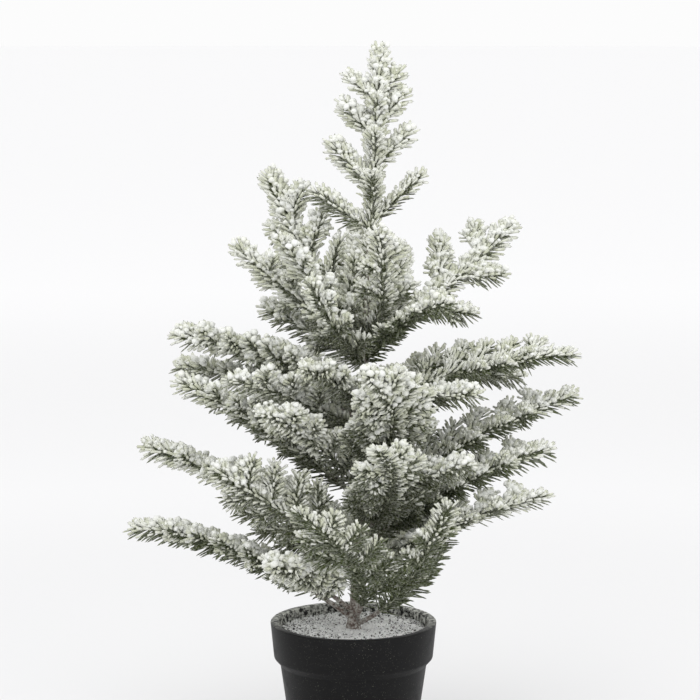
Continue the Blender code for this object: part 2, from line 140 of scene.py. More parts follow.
# Boughs by tier, from the top down: name, root height, turn, reach, tip height, arch, bow, bare,
# pairs, span and roll, as the solids have them, then how much snow lies on the spray (0 to 1)
# and which green its needles are.
BOUGHS = (
    ("top_left", 0.306, -117, 0.070, 0.436, -0.010, 0.0, 0.0, 4, 0.045, 80, 0.7, "mid"),
    ("upper_left", 0.312, -77, 0.087, 0.387, -0.004, 0.0, 0.0, 4, 0.028, 40, 0.7, "grey"),
    ("upper_left_low", 0.300, -99, 0.068, 0.341, 0.000, 0.0, 0.0, 2, 0.022, -20, 0.6, "grey"),
    ("upper_front_left", 0.322, -42, 0.078, 0.397, -0.006, 0.0, 0.0, 3, 0.022, 0, 0.75, "grey"),
    ("upper_front", 0.296, -24, 0.077, 0.368, -0.006, 0.0, 0.0, 3, 0.022, 0, 0.5, "mid"),
    ("upper_centre", 0.310, 15, 0.062, 0.402, -0.006, 0.008, 0.0, 4, 0.030, 0, 0.6, "mid"),
    ("upper_right_front", 0.300, 49, 0.092, 0.349, 0.010, 0.0, 0.0, 4, 0.026, 20, 0.3, "fresh"),
    ("upper_right_back", 0.322, 117, 0.133, 0.396, -0.010, 0.0, 0.0, 3, 0.048, 50, 0.75, "mid"),
    ("upper_back", 0.304, 178, 0.088, 0.392, -0.006, 0.0, 0.0, 4, 0.034, 0, 0.7, "grey"),
    ("left_snowy", 0.272, -94, 0.131, 0.320, 0.006, 0.0, 0.024, 5, 0.036, 15, 1.0, "mid"),
    ("left_back", 0.258, -111, 0.142, 0.290, 0.006, 0.0, 0.026, 4, 0.032, 10, 0.5, "grey"),
    ("left_front", 0.248, -56, 0.107, 0.297, 0.005, 0.0, 0.0, 4, 0.034, 30, 0.65, "grey"),
    ("front_left_high", 0.266, -25, 0.086, 0.306, 0.006, 0.0, 0.0, 3, 0.024, 0, 0.8, "grey"),
    ("front_snowy", 0.218, 3, 0.110, 0.309, 0.000, 0.022, 0.020, 5, 0.044, 0, 0.75, "mid"),
    ("right_front", 0.250, 61, 0.104, 0.284, 0.008, 0.0, 0.0, 4, 0.028, 0, 0.5, "mid"),
    ("right_long", 0.262, 90, 0.161, 0.304, 0.012, 0.0, 0.030, 5, 0.036, 15, 0.3, "fresh"),
    ("right_back", 0.270, 115, 0.141, 0.279, 0.010, 0.0, 0.026, 4, 0.032, 10, 0.5, "grey"),
    ("back_right_high", 0.254, 155, 0.120, 0.280, 0.004, 0.0, 0.0, 4, 0.034, 0, 0.5, "grey"),
    ("back_left_high", 0.260, -150, 0.124, 0.296, 0.006, 0.0, 0.0, 4, 0.034, 0, 0.5, "grey"),
    ("mid_left_long", 0.200, -81, 0.129, 0.291, 0.008, 0.0, 0.028, 5, 0.036, 15, 0.6, "mid"),
    ("mid_left_front", 0.208, -43, 0.098, 0.276, 0.009, 0.0, 0.0, 4, 0.034, 15, 0.9, "grey"),
    ("mid_front", 0.172, 7, 0.116, 0.258, 0.002, 0.018, 0.024, 5, 0.040, 0, 0.45, "mid"),
    ("mid_right_long", 0.198, 97, 0.165, 0.275, 0.006, 0.0, 0.030, 5, 0.036, 8, 0.3, "fresh"),
    ("mid_right_front", 0.192, 48, 0.112, 0.240, 0.004, 0.0, 0.0, 4, 0.030, 0, 0.5, "mid"),
    ("mid_back", 0.206, 178, 0.140, 0.268, 0.006, 0.0, 0.028, 4, 0.036, 0, 0.5, "grey"),
    ("low_left_long", 0.148, -94, 0.154, 0.239, 0.012, 0.0, 0.030, 5, 0.034, 10, 0.7, "fresh"),
    ("low_left_front", 0.160, -59, 0.116, 0.236, -0.002, 0.0, 0.022, 4, 0.040, 60, 0.4, "mid"),
    ("low_right_long", 0.162, 90, 0.145, 0.238, 0.010, 0.0, 0.028, 5, 0.034, 8, 0.35, "fresh"),
    ("low_right_front", 0.150, 77, 0.143, 0.210, 0.005, 0.0, 0.030, 4, 0.032, 10, 0.6, "mid"),
    ("low_back_left", 0.162, -138, 0.142, 0.205, 0.005, 0.0, 0.030, 5, 0.040, 20, 0.5, "grey"),
    ("low_back_right", 0.152, 146, 0.132, 0.206, 0.006, 0.0, 0.030, 4, 0.036, 0, 0.5, "grey"),
    ("foot_left_long", 0.112, -90, 0.163, 0.180, 0.014, 0.0, 0.036, 5, 0.034, 10, 0.6, "fresh"),
    ("foot_left_front", 0.117, -38, 0.096, 0.170, 0.004, 0.0, 0.028, 4, 0.036, 0, 1.0, "grey"),
    ("foot_front", 0.1115, -21, 0.118, 0.215, -0.002, 0.024, 0.028, 5, 0.040, 0, 0.05, "fresh"),
    ("foot_right_front", 0.1078, 40, 0.104, 0.215, -0.016, 0.004, 0.028, 5, 0.032, 0, 0.15, "fresh"),
    ("foot_back", 0.114, 172, 0.138, 0.176, 0.012, 0.0, 0.034, 4, 0.036, 0, 0.5, "mid"),
)
LEADER_LOOKS = (0.7, "mid")
BOUGH_NUMBER = {row[0]: number for number, row in enumerate(BOUGHS)}
BOUGH_NUMBER["leader"] = len(BOUGHS)

# Twigs: radii at foot and tip, and how far from its foot each carries no needles.
STEM_RADII = (1.3 * MM, 0.8 * MM)
SPRIG_RADII = (1.0 * MM, 0.6 * MM)
TWIGLET_RADII = (0.7 * MM, 0.5 * MM)
SPRIG_BALD = 3.0 * MM
TWIGLET_BALD = 1.5 * MM
# How long their needles are beside those of a sprig.
STEM_NEEDLES = 1.1
TWIGLET_NEEDLES = 0.8
# Needles clothe the trunk above this height, and a limb beyond this share of its length.
CLOTHED_FROM = 0.300
LIMB_BARE = 0.45
SHOOT_STEP = 0.002
SMOOTHINGS = 3

# Short twigs along a sprig. They turn to and fro with their number and their height.
TWIGLET_FIRST = 0.012
TWIGLET_LAST = 0.70
TWIGLET_STEP = 0.0090
TWIGLET_LENGTH = 0.0095
TWIGLET_TAPER = 0.4
TWIGLET_ANGLE = math.radians(48)
TWIGLET_TURN = 0.4
TURN_BY_NUMBER = 5.0
TURN_BY_HEIGHT = 900.0

# How needles stand on a twig, which parts them on the side that faces the front.
GOLDEN_TURN = math.pi * (3.0 - math.sqrt(5.0))
TURN_SPREAD = 0.15
PARTING = (0.0, -1.0, 0.3)
PARTING_SPREAD = 0.3
CROWDING = 0.33
LEAN = math.radians(48)
LEAN_AT_PARTING = math.radians(26)
LEAN_AT_TIP = math.radians(16)
LEAN_SPREAD = math.radians(6)
TIP_LENGTH = 0.007
LIFT = 0.06
LENGTHS = (0.84, 1.1)
WIDTHS = (0.85, 1.15)
SHORTER_AT_TIP = 0.2
SHORTER_AT_PARTING = 0.2
HANG = 0.10
BLADE_OUT = 0.4
BLADE_SPREAD = 0.25
OVER_BOX = 0.004

# Where snow lies: on an evenly laden needle, then what each cause adds or takes.
LADEN = 0.40
RISE_SNOW = 0.95
OUT_RISE = 0.6
WAY_RISE = 0.4
FACING_SNOW = 0.10
PATCH_SNOW = 0.6
PATCH = 0.024
COARSE_PATCHES = 0.6
FINE_PATCHES = 0.4
CREST = 0.4
CREST_HEIGHT = 0.030
SHELTER = 0.6
SHELTER_RADIUS = 0.050
SHELTER_TOP = 0.34

# Snow on a needle: the least that shows, the most that counts, and where lumps begin and are full.
BARE = 0.12
FULL_COAT = 1.6
CLUMPED = 0.75
HEAPED = 1.4
COAT_ROUGHNESS = 0.18
# A coat's width, depth and start along its needle: at no snow, and how much each grows with it.
COAT_WIDTH = (0.75, 0.25)
COAT_DEPTH = (0.30, 0.60)
COAT_START = (0.55, -0.28)
COAT_PAST_TIP = 0.4
# Lumps of snow: how much they grow in a heap, and where along the needle they sit.
LUMP_SIZES = (0.85, 1.9)
LUMP_GROWTH = (0.1, 1.0)
LUMP_REACH = (0.4, 0.95)
LUMP_ROUGHNESS = 0.26
LUMP_FLATNESS = 0.8
LUMP_LEVEL = (1.0, 1.0, 0.3)
LUMP_TILT = 0.2
LUMP_UNEVEN = (0.85, 1.2)

# Repeated shapes: a needle's rings as height and swelling, and the heights of a coat's rings.
NEEDLE_RADIUS = 0.40
NEEDLE_FLATNESS = 0.62
NEEDLE_RINGS = ((0.35, 1.35), (0.86, 0.74))
COAT_RINGS = (0.18, 0.84)
COAT_FOOT = 0.80
COAT_SWELL = 0.35

# Greens, and how much dust lies on each.
GREENS = {"fresh": 0.3, "mid": 0.45, "grey": 0.6}

# The fill's uneven top and the grit on it.
COARSE_SIZE = 0.014
COARSE_HEIGHT = 0.0011
FINE_SIZE = 0.0035
FINE_HEIGHT = 0.0007
FILL_LIFT = 0.0006
EDGE_DROP = 0.0008
GRIT_SPREAD = 0.35
GRIT_ROUGHNESS = 0.3
GRIT_FLATNESS = 0.75
GRANULE_SHARE = 0.8
GRANULES_OUTWARD = 0.8
CRUMB_SHADE = 0.8
GRANULE_SHADE = 4.0

# The wrap of trunk and limbs.
WRAP_SUNK = 0.001
WRAP_OVERLAP = 0.004
LIMB_OVERLAP = 0.002
LIMB_LINE_STEP = 0.003
WRAP_STEP = 0.0008
RIDGE_LEVEL = 0.35
GRAIN_SIZE = 0.002
FINE_GRAIN_SIZE = 0.0009
FINE_GRAIN = 0.6
GRAIN = 0.8

# The pot's sheen, and the dust on its rim. Dust on the lip starts and is full this far under the
# rim's top, and these shares of the rim's radius from the middle to the back.
POT_SPECULAR = 0.14
POT_DUST = 0.75
LIP_UNDER = (0.0012, 0.0002)
LIP_BACK = (-0.6, 0.3)

# How finely the meshes are made.
POT_STEPS = 128
CORNER = math.radians(15)
CORNER_STEPS = 3
FILL_RINGS = 44
FILL_STEPS = 144
TRUNK_RINGS = 220
TRUNK_SIDES = 20
LIMB_SIDES = 14
TWIG_RINGS = 12
TWIG_SIDES = 6
MOST_TRIANGLES = 190_000

# Floor, lights and camera. The floor glows more with distance, in two steps.
FLOOR_RADIUS = 30.0
FLOOR_SIDES = 64
NEAR_GLOW = (0.55, 1.15)
FAR_GLOW = (0.9, 3.2)
GLOW_IN_MIDDLE = 0.15
NEAR_SHARE = 0.40
FAR_SHARE = 0.65
KEY_PLACE = (-0.45, -1.1, 2.0)
KEY_SIZE = 2.2
FILL_LIGHT_PLACE = (1.3, -1.3, 1.2)
FILL_LIGHT_SIZE = 1.8
FILL_LIGHT_SHARE = 0.40
LIGHT_AIM = (0.0, 0.0, 0.28)
CAMERA_PLACE = (-0.0025, -1.8, 0.555)
CAMERA_TILT = math.radians(82.2)
CAMERA_LENS = 131.1
CAMERA_SENSOR = 36.0


# How the tree grows.


def trunk_axis(height):
    share = (height - FILL_TOP) / (TRUNK_TOP - FILL_TOP)
    return np.array([TRUNK_LEAN * share, 0.0, height])


def trunk_radius(height):
    share = (height - FILL_TOP) / (TRUNK_TOP - FILL_TOP)
    taper = TRUNK_FOOT_RADIUS + (TRUNK_TOP_RADIUS - TRUNK_FOOT_RADIUS) * share
    return taper + FLARE_RADIUS * math.exp(-(height - FILL_TOP) / FLARE_HEIGHT)


def frames(points):
    """Unit direction and two cross directions at every point of a polyline."""
    along = np.gradient(points, axis=0)
    along /= np.linalg.norm(along, axis=1)[:, None]
    side = np.cross(UP, along[0])
    if np.linalg.norm(side) < UPRIGHT:
        side = np.cross((0.0, 1.0, 0.0), along[0])
    sides = []
    for direction in along:
        side = side - direction * (side @ direction)
        side = side / np.linalg.norm(side)
        sides.append(side)
    sides = np.array(sides)
    return along, sides, np.cross(along, sides)


def run_of(points):
    """Length along a polyline at each of its points."""
    return np.r_[0.0, np.cumsum(np.linalg.norm(np.diff(points, axis=0), axis=1))]


def point_at(points, lengths, at):
    return np.stack([np.interp(at, lengths, points[:, k]) for k in range(3)], axis=-1)


def arc_points(start, middle, end, step):
    """Evenly spaced points along the quadratic curve that passes its control point by."""
    t = np.linspace(0.0, 1.0, CURVE_SAMPLES)[:, None]
    curve = start * (1 - t) ** 2 + 2 * middle * t * (1 - t) + end * t**2
    lengths = run_of(curve)
    count = max(3, int(round(lengths[-1] / step)) + 1)
    return point_at(curve, lengths, np.linspace(0.0, lengths[-1], count))


def spine_of(root_height, turn, reach, tip_height, arch, bow):
    """Points of a bough's spine, from the trunk's axis to its tip."""
    start = trunk_axis(root_height)
    angle = math.radians(turn)
    end = np.array([reach * math.sin(angle), -reach * math.cos(angle), tip_height])
    across = np.array([math.cos(angle), math.sin(angle), 0.0])
    middle = (start + end) / 2 + 2 * (bow * across + arch * UP)
    return arc_points(start, middle, end, SPINE_STEP)


def side_sprigs(spine, pairs, span, roll, draw):
    """Pairs of side sprigs along a spine: their points, roots on the spine."""
    along, across, up = frames(spine)
    lengths = run_of(spine)
    lean = math.radians(roll)
    made = []
    for number in range(2 * pairs):
        side = 1 if number % 2 else -1
        share = FIRST_SPRIG + (LAST_SPRIG - FIRST_SPRIG) * number / (2 * pairs - 1)
        at = share * lengths[-1]
        root = point_at(spine, lengths, at)
        ahead, flat, over = (point_at(way, lengths, at) for way in (along, across, up))
        flat = side * (flat * math.cos(lean) + over * math.sin(lean))
        angle = SPRIG_ANGLE + draw.uniform(-ANGLE_SPREAD, ANGLE_SPREAD)
        length = span * (1.0 - SPRIG_TAPER * share)
        length *= draw.uniform(1.0 - LENGTH_SPREAD, 1.0 + LENGTH_SPREAD)
        steps = max(2, int(round(length / NEEDLE_ROW)))
        t = np.linspace(0.0, 1.0, steps + 1)[:, None]
        out = ahead * math.cos(angle) + flat * math.sin(angle)
        curl = SPRIG_LIFT * over[2] * over + SPRIG_TURN * ahead
        made.append(root + length * (out * t + curl * t**2))
    return made


def segments(points, radius=0.0):
    return [(a, b, radius) for a, b in zip(points, points[1:])]


def distances(points, pieces):
    """Distance from each point to the nearest (start, end, radius) piece, less its radius."""
    starts = np.array([piece[0] for piece in pieces])
    ends = np.array([piece[1] for piece in pieces])
    radii = np.array([piece[2] for piece in pieces])
    run = ends - starts
    offset = points[:, None, :] - starts[None]
    share = (offset * run).sum(-1) / (run * run).sum(-1)
    nearest = offset - np.clip(share, 0.0, 1.0)[..., None] * run
    return (np.linalg.norm(nearest, axis=-1) - radii).min(axis=1)


class Bough:
    """One bough: its spine, the length of its bare limb, and the sprigs of its spray."""

    def __init__(self, row, draw):
        self.name, root, turn, reach, tip, arch, bow, self.bare, pairs, span, roll = row[:11]
        self.snow, self.green = row[11:]
        self.node = "spray_" + self.name
        self.spine = spine_of(root, turn, reach, tip, arch, bow)
        self.lengths = run_of(self.spine)
        self.limb_end = max(self.bare, self.trunk_clearance(root))
        self.stem = self.between(self.limb_end + GAP, self.lengths[-1] - TIP_NEEDLE, NEEDLE_ROW)
        self.sprigs = side_sprigs(self.stem, pairs, span, roll, draw)

    def trunk_clearance(self, root):
        """How far along the spine a stem's flat end comes clear of the trunk."""
        run = self.spine[1] - self.spine[0]
        level = math.hypot(run[0], run[1])
        return (trunk_radius(root) * math.hypot(level, run[2]) + STEM_RADIUS * abs(run[2])) / level

    def between(self, start, end, step):
        count = max(2, int(round((end - start) / step)) + 1)
        return point_at(self.spine, self.lengths, np.linspace(start, end, count))


class Leader(Bough):
    """The crown's top: a spray that carries on from the trunk's tip."""

    def __init__(self):
        self.name, self.node, self.bare = "leader", "leader", 0.0
        self.snow, self.green = LEADER_LOOKS
        base = trunk_axis(TRUNK_TOP + GAP)
        tip = base + (LEADER_LEAN, 0.0, LEADER_HEIGHT - TIP_NEEDLE)
        self.stem = arc_points(base, (base + tip) / 2, tip, NEEDLE_ROW)
        self.sprigs = [self.sprig(*row) for row in LEADER_SPRIGS]

    def sprig(self, height, turn, angle, length):
        """A sprig that curls up a little from the stem."""
        root = point_at(self.stem, run_of(self.stem), height)
        turn = math.radians(turn)
        angle = math.radians(angle)
        out = np.array([math.sin(turn), -math.cos(turn), 0.0])
        way = out * math.sin(angle) + UP * math.cos(angle)
        steps = max(2, int(round(length / NEEDLE_ROW)))
        t = np.linspace(0.0, 1.0, steps + 1)[:, None]
        return root + length * (way * t + SPRIG_TURN * UP * t**2)


def trunk_pieces():
    axis = [trunk_axis(height) for height in np.linspace(FILL_TOP, TRUNK_TOP, TRUNK_PIECES)]
    return [(a, b, trunk_radius(a[2])) for a, b in zip(axis, axis[1:])]


def choose_sprigs(boughs, limbs):
    """Shortens or skips each side sprig that would crowd another spray or touch a limb."""
    kept = {bough.name: segments(bough.stem) for bough in boughs}
    for bough in boughs:
        chosen = []
        for sprig in bough.sprigs:
            others = [piece for name, own in kept.items() if name != bough.name for piece in own]
            for scale in SPRIG_SCALES:
                points = sprig[0] + (sprig - sprig[0]) * scale
                outer = points[1:]
                roomy = distances(outer, others).min() > SPRIG_ROOM
                if roomy and distances(outer, limbs).min() > LIMB_ROOM:
                    chosen.append(points)
                    kept[bough.name] += segments(points)
                    break
        bough.sprigs = chosen


@functools.lru_cache(maxsize=1)
def grown():
    """The boughs and the leader, with the sprigs that they keep."""
    draw = np.random.default_rng(SEED)
    boughs = [Bough(row, draw) for row in BOUGHS]
    limbs = trunk_pieces()
    for bough in boughs:
        if bough.bare:
            limbs += segments(bough.between(0.0, bough.limb_end, LIMB_STEP), LIMB_FOOT_RADIUS)
    boughs.append(Leader())
    choose_sprigs(boughs, limbs)
    return boughs


# Twigs and what stands on them.


class Shoot:
    """One stem, sprig or short twig, smooth, with its radius at foot and tip."""

    def __init__(self, bough, points, radii, bald, needle_scale):
        self.bough = bough
        self.lengths = run_of(points)
        self.points = points
        self.foot, self.tip = radii
        self.bald = bald
        self.needle_scale = needle_scale
        self.along, self.across, self.up = frames(points)

    @property
    def length(self):
        return self.lengths[-1]

    def at(self, distance):
        """Point, direction and two cross directions at distances from the foot."""
        ways = (self.points, self.along, self.across, self.up)
        return [point_at(way, self.lengths, distance) for way in ways]


def smooth_line(points, step=SHOOT_STEP):
    """The polyline through the points, rounded and with points step apart."""
    lengths = run_of(points)
    at = np.linspace(0.0, lengths[-1], max(4, int(lengths[-1] / step)))
    line = point_at(points, lengths, at)
    for _ in range(SMOOTHINGS):
        line[1:-1] = (line[:-2] + 2 * line[1:-1] + line[2:]) / 4
    return line


@functools.lru_cache(maxsize=1)
def shoots():
    """Every stem, sprig and short twig of the tree."""
    made = []
    for bough in grown():
        if bough.name == "leader":
            heights = np.arange(CLOTHED_FROM, TRUNK_TOP, NEEDLE_ROW)
            foot = [trunk_axis(height) for height in heights]
        elif bough.bare:
            bare = 1.0 if bough.name.startswith("foot_") else LIMB_BARE
            foot = bough.between(bare * bough.limb_end, bough.limb_end, NEEDLE_ROW)
        else:
            foot = bough.spine[:1]
        stem = smooth_line(np.vstack([foot, bough.stem]))
        made.append(Shoot(bough, stem, STEM_RADII, 0.0, STEM_NEEDLES))
        for sprig in bough.sprigs:
            shoot = Shoot(bough, smooth_line(sprig), SPRIG_RADII, SPRIG_BALD, 1.0)
            made.append(shoot)
            if bough.name != "leader":
                made += twiglets(shoot)
    return made


def twiglets(sprig):
    """Short twigs that stand out to either side of a long sprig."""
    room = TWIGLET_LAST * sprig.length - TWIGLET_FIRST
    count = int(room / TWIGLET_STEP) + 1 if room > 0.0 else 0
    made = []
    for number in range(count):
        distance = TWIGLET_FIRST + number * TWIGLET_STEP
        point, along = sprig.at(distance)[:2]
        face = upright_to(along, np.array(PARTING))
        turn = math.radians(90 if number % 2 else -90)
        turn += TWIGLET_TURN * math.sin(TURN_BY_NUMBER * number + TURN_BY_HEIGHT * point[2])
        out = face * math.cos(turn) + np.cross(along, face) * math.sin(turn)
        way = out * math.sin(TWIGLET_ANGLE) + along * math.cos(TWIGLET_ANGLE)
        length = TWIGLET_LENGTH * (1.0 - TWIGLET_TAPER * distance / sprig.length)
        line = smooth_line(point + way * np.linspace(0.0, length, 4)[:, None])
        made.append(Shoot(sprig.bough, line, TWIGLET_RADII, TWIGLET_BALD, TWIGLET_NEEDLES))
    return made


def patch(points, size, seed=0.0):
    """Smooth noise from -1 to 1 at each point, in patches of the size."""
    shift = Vector((seed, 2.3 * seed, -1.7 * seed))
    return np.array([noise.noise(Vector(point) / size + shift) for point in points])


def unit(vectors):
    return vectors / np.linalg.norm(vectors, axis=-1)[..., None]


def upright_to(directions, wanted):
    """Unit vectors at right angles to the directions, as near the wanted ones as can be."""
    flat = wanted - (wanted * directions).sum(-1)[..., None] * directions
    return unit(flat)


class Needles:
    """Where every needle of the tree stands, which way it and its blade face, and its snow."""

    COLUMNS = ("root", "way", "out", "face", "length", "owner")

    def __init__(self, sizes, snow):
        draw = np.random.default_rng(LOOKS_SEED)
        parts = [self.along_shoot(shoot, sizes, draw) for shoot in shoots()]
        for name, column in zip(self.COLUMNS, zip(*parts)):
            setattr(self, name, np.concatenate(column))
        self.keep_clear()
        self.snow = self.snow_on(snow)

    def along_shoot(self, shoot, sizes, draw):
        room = shoot.length - shoot.bald
        count = int(room * sizes.per_metre)
        share = (np.arange(count) + draw.uniform(0.0, 1.0, count)) / count
        at = shoot.bald + share * room
        point, along = shoot.at(at)[:2]
        # The spray parts on the side that faces the front, and its needles crowd to either side.
        front = np.array(PARTING) + draw.normal(0.0, PARTING_SPREAD, 3)
        face = upright_to(along, np.broadcast_to(front, along.shape))
        turn = np.arange(count) * GOLDEN_TURN + draw.normal(0.0, TURN_SPREAD, count)
        turn = turn + CROWDING * np.sin(2 * turn)
        toward_face = np.cos(turn)
        out = face * toward_face[:, None] + np.cross(along, face) * np.sin(turn)[:, None]
        # The last few needles close in round the tip.
        tip = np.clip(1.0 - (shoot.length - at) / TIP_LENGTH, 0.0, 1.0)
        lean = LEAN - (LEAN - LEAN_AT_PARTING) * toward_face**2
        lean = lean - (lean - LEAN_AT_TIP) * tip**2 + draw.normal(0.0, LEAN_SPREAD, count)
        way = out * np.sin(lean)[:, None] + along * np.cos(lean)[:, None]
        way = unit(way + LIFT * UP)
        length = sizes.length * shoot.needle_scale
        length = length * draw.uniform(*LENGTHS, count) * (1.0 - SHORTER_AT_TIP * tip)
        length = length * (1.0 - SHORTER_AT_PARTING * toward_face**2) * (1.0 - HANG * out[:, 2])
        tilt = BLADE_OUT * out + draw.normal(0.0, BLADE_SPREAD, out.shape)
        face = upright_to(way, face * np.where(toward_face < 0, -1.0, 1.0)[:, None] + tilt)
        owner = np.full(count, BOUGH_NUMBER[shoot.bough.name])
        return point, way, out, face, length, owner

    def keep_clear(self):
        """Drops the needles that would stand in the pot or its fill, or outside the solids' box."""
        tips = self.root + self.way * self.length[:, None]
        level = np.hypot(tips[:, 0], tips[:, 1])
        in_pot = (level < RIM_RADIUS + WALL) & (tips[:, 2] < POT_HEIGHT + WALL)
        in_box = (tips > np.array(CAD_BOX[0]) - OVER_BOX).all(axis=1)
        in_box &= (tips < np.array(CAD_BOX[1]) + OVER_BOX).all(axis=1)
        kept = in_box & ~in_pot
        for name in self.COLUMNS:
            setattr(self, name, getattr(self, name)[kept])

    def snow_on(self, snow):
        """How much snow each needle carries, from none (0 or less) to a thick coat (1)."""
        load = np.array([bough.snow for bough in grown()])[self.owner]
        tips = self.root + self.way * self.length[:, None]
        rise = OUT_RISE * self.out[:, 2] + WAY_RISE * self.way[:, 2]
        outward = unit(tips * (1.0, 1.0, 0.0) + (0.0, 0.0, 1e-9))
        facing = (self.way * outward).sum(-1)
        patches = COARSE_PATCHES * patch(tips, PATCH, 1.0)
        patches += FINE_PATCHES * patch(tips, PATCH / 3, 5.0)
        # The sprays shelter what is near the trunk below them.
        near = np.clip(1.0 - np.hypot(tips[:, 0], tips[:, 1]) / SHELTER_RADIUS, 0.0, 1.0)
        sheltered = SHELTER * near * (tips[:, 2] < SHELTER_TOP)
        # A spray's crest catches more than its lower half.
        middle = np.bincount(self.owner, tips[:, 2]) / np.bincount(self.owner)
        crest = np.clip((tips[:, 2] - middle[self.owner]) / CREST_HEIGHT, -1.0, 1.0)
        amount = snow.amount * (load - 0.5) + LADEN - sheltered + CREST * crest
        return amount + RISE_SNOW * rise + FACING_SNOW * facing + PATCH_SNOW * patches


@functools.lru_cache(maxsize=1)
def needles():
    scene = bpy.context.scene
    return Needles(scene.pine_needles, scene.pine_snow)


# Meshes.


def template(work):
    """The vertices and triangles of a small shape, to be repeated many times."""
    bmesh.ops.recalc_face_normals(work, faces=work.faces)
    bmesh.ops.triangulate(work, faces=work.faces)
    work.verts.index_update()
    verts = np.array([vert.co for vert in work.verts])
    faces = np.array([[vert.index for vert in face.verts] for face in work.faces])
    work.free()
    return verts, faces


def raised(work, ring, rise):
    """Extrudes a ring of vertices upward, and gives the new ring."""
    edges = [edge for edge in work.edges if all(vert in ring for vert in edge.verts)]
    made = bmesh.ops.extrude_edge_only(work, edges=edges)["geom"]
    ring = [item for item in made if isinstance(item, bmesh.types.BMVert)]
    bmesh.ops.translate(work, verts=ring, vec=(0.0, 0.0, rise))
    return ring


def circle(work, sides, radius=1.0):
    return bmesh.ops.create_circle(work, cap_ends=True, segments=sides, radius=radius)["verts"]


def needle_template():
    """A three-sided needle along Z, one unit long and one unit across, with its keel toward +Y."""
    work = bmesh.new()
    ring = circle(work, 3, NEEDLE_RADIUS)
    bmesh.ops.scale(work, verts=ring, vec=(1.0, NEEDLE_FLATNESS, 1.0))
    for height, swell in NEEDLE_RINGS:
        ring = raised(work, ring, height - ring[0].co.z)
        bmesh.ops.scale(work, verts=ring, vec=(swell, swell, 1.0))
    ring = raised(work, ring, 1.0 - ring[0].co.z)
    bmesh.ops.pointmerge(work, verts=ring, merge_co=(0.0, 0.0, 1.0))
    return template(work)


def coat_template():
    """A rounded coat along Z, one unit long, thicker toward its tip."""
    work = bmesh.new()
    bmesh.ops.create_uvsphere(work, u_segments=4, v_segments=3, radius=1.0)
    for vert in work.verts:
        height = 0.5 + 0.5 * vert.co.z
        if 0.0 < height < 1.0:
            height = COAT_RINGS[0] if height < 0.5 else COAT_RINGS[1]
        swell = COAT_FOOT + COAT_SWELL * height
        vert.co = (vert.co.x * swell, vert.co.y * swell, height)
    return template(work)


def lump_template():
    """A round lump of radius one."""
    work = bmesh.new()
    bmesh.ops.create_icosphere(work, subdivisions=1, radius=1.0)
    return template(work)


def tube_template(rings, sides):
    """A tube of radius one along Z, whose ring number is its height."""
    work = bmesh.new()
    ring = circle(work, sides)
    for _ in range(rings - 1):
        ring = raised(work, ring, 1.0)
    bmesh.ops.contextual_create(work, geom=ring)
    return template(work)


def repeated(faces, copies, points):
    """A shape's triangles for each of its copies, which have this number of points each."""
    first = np.arange(copies)[:, None, None] * points
    return (faces[None] + first).reshape(-1, 3)


def laid(local, faces, origin, side, over, along):
    """Copies of a shape in their places, each from its own points, origin and three axes."""
    placed = origin[:, None] + local[..., :1] * side[:, None] + local[..., 1:2] * over[:, None]
    placed += local[..., 2:] * along[:, None]
    return placed.reshape(-1, 3), repeated(faces, len(origin), local.shape[1])


def stamped(shape, origin, side, over, along, sizes, rough=0.0, draw=None):
    """Copies of a template: origins, three axes and three sizes give each copy's place."""
    verts, faces = shape
    count = len(origin)
    local = np.broadcast_to(verts, (count, *verts.shape)).copy()
    if rough:
        local[:, :, :2] *= draw.uniform(1.0 - rough, 1.0 + rough, (count, len(verts), 1))
    local *= sizes[:, None, :]
    return laid(local, faces, origin, side, over, along)


def lumps(centres, radii, draw, rough, flat):
    """Lumps of snow or grit, each turned its own way round and uneven."""
    count = len(centres)
    side = unit(draw.normal(0.0, 1.0, (count, 3)) * LUMP_LEVEL)
    tilt = LUMP_TILT * draw.normal(0.0, 1.0, side.shape)
    over = upright_to(side, np.broadcast_to(UP, side.shape) + tilt)
    verts, faces = lump_template()
    local = np.broadcast_to(verts, (count, *verts.shape)).copy()
    local *= draw.uniform(1.0 - rough, 1.0 + rough, (count, len(verts), 1))
    sizes = radii[:, None] * np.array([1.0, flat, 1.0]) * draw.uniform(*LUMP_UNEVEN, (count, 3))
    local *= sizes[:, None, :]
    return laid(local, faces, centres, side, over, np.cross(side, over))


def gathered(parts):
    """Several (vertices, triangles) as one."""
    verts, faces, first = [], [], 0
    for own_verts, own_faces in parts:
        verts.append(own_verts)
        faces.append(own_faces + first)
        first += len(own_verts)
    return np.concatenate(verts), np.concatenate(faces)


def add_mesh(name, verts, faces, finish, smooth=True):
    """A piece of the object from joined triangles."""
    mesh = bpy.data.meshes.new(name)
    mesh.vertices.add(len(verts))
    mesh.vertices.foreach_set("co", verts.astype(np.float32).ravel())
    mesh.loops.add(3 * len(faces))
    mesh.loops.foreach_set("vertex_index", faces.astype(np.int32).ravel())
    mesh.polygons.add(len(faces))
    mesh.polygons.foreach_set("loop_start", np.arange(len(faces), dtype=np.int32) * 3)
    mesh.polygons.foreach_set("use_smooth", np.full(len(faces), smooth))
    mesh.update(calc_edges=True)
    return placed_piece(name, mesh, finish)


def placed_piece(name, mesh, finish):
    piece = bpy.data.objects.new(name, mesh)
    mesh.materials.append(finish)
    bpy.context.scene.collection.objects.link(piece)
    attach(piece, BODY)
    return piece


def piece_of(name, work, finish, sharp=math.radians(40)):
    """A piece of the object from a bmesh, smooth between its sharp edges."""
    mesh = bpy.data.meshes.new(name)
    work.to_mesh(mesh)
    work.free()
    mesh.shade_smooth()
    mesh.set_sharp_from_angle(angle=sharp)
    return placed_piece(name, mesh, finish)


# Finishes.


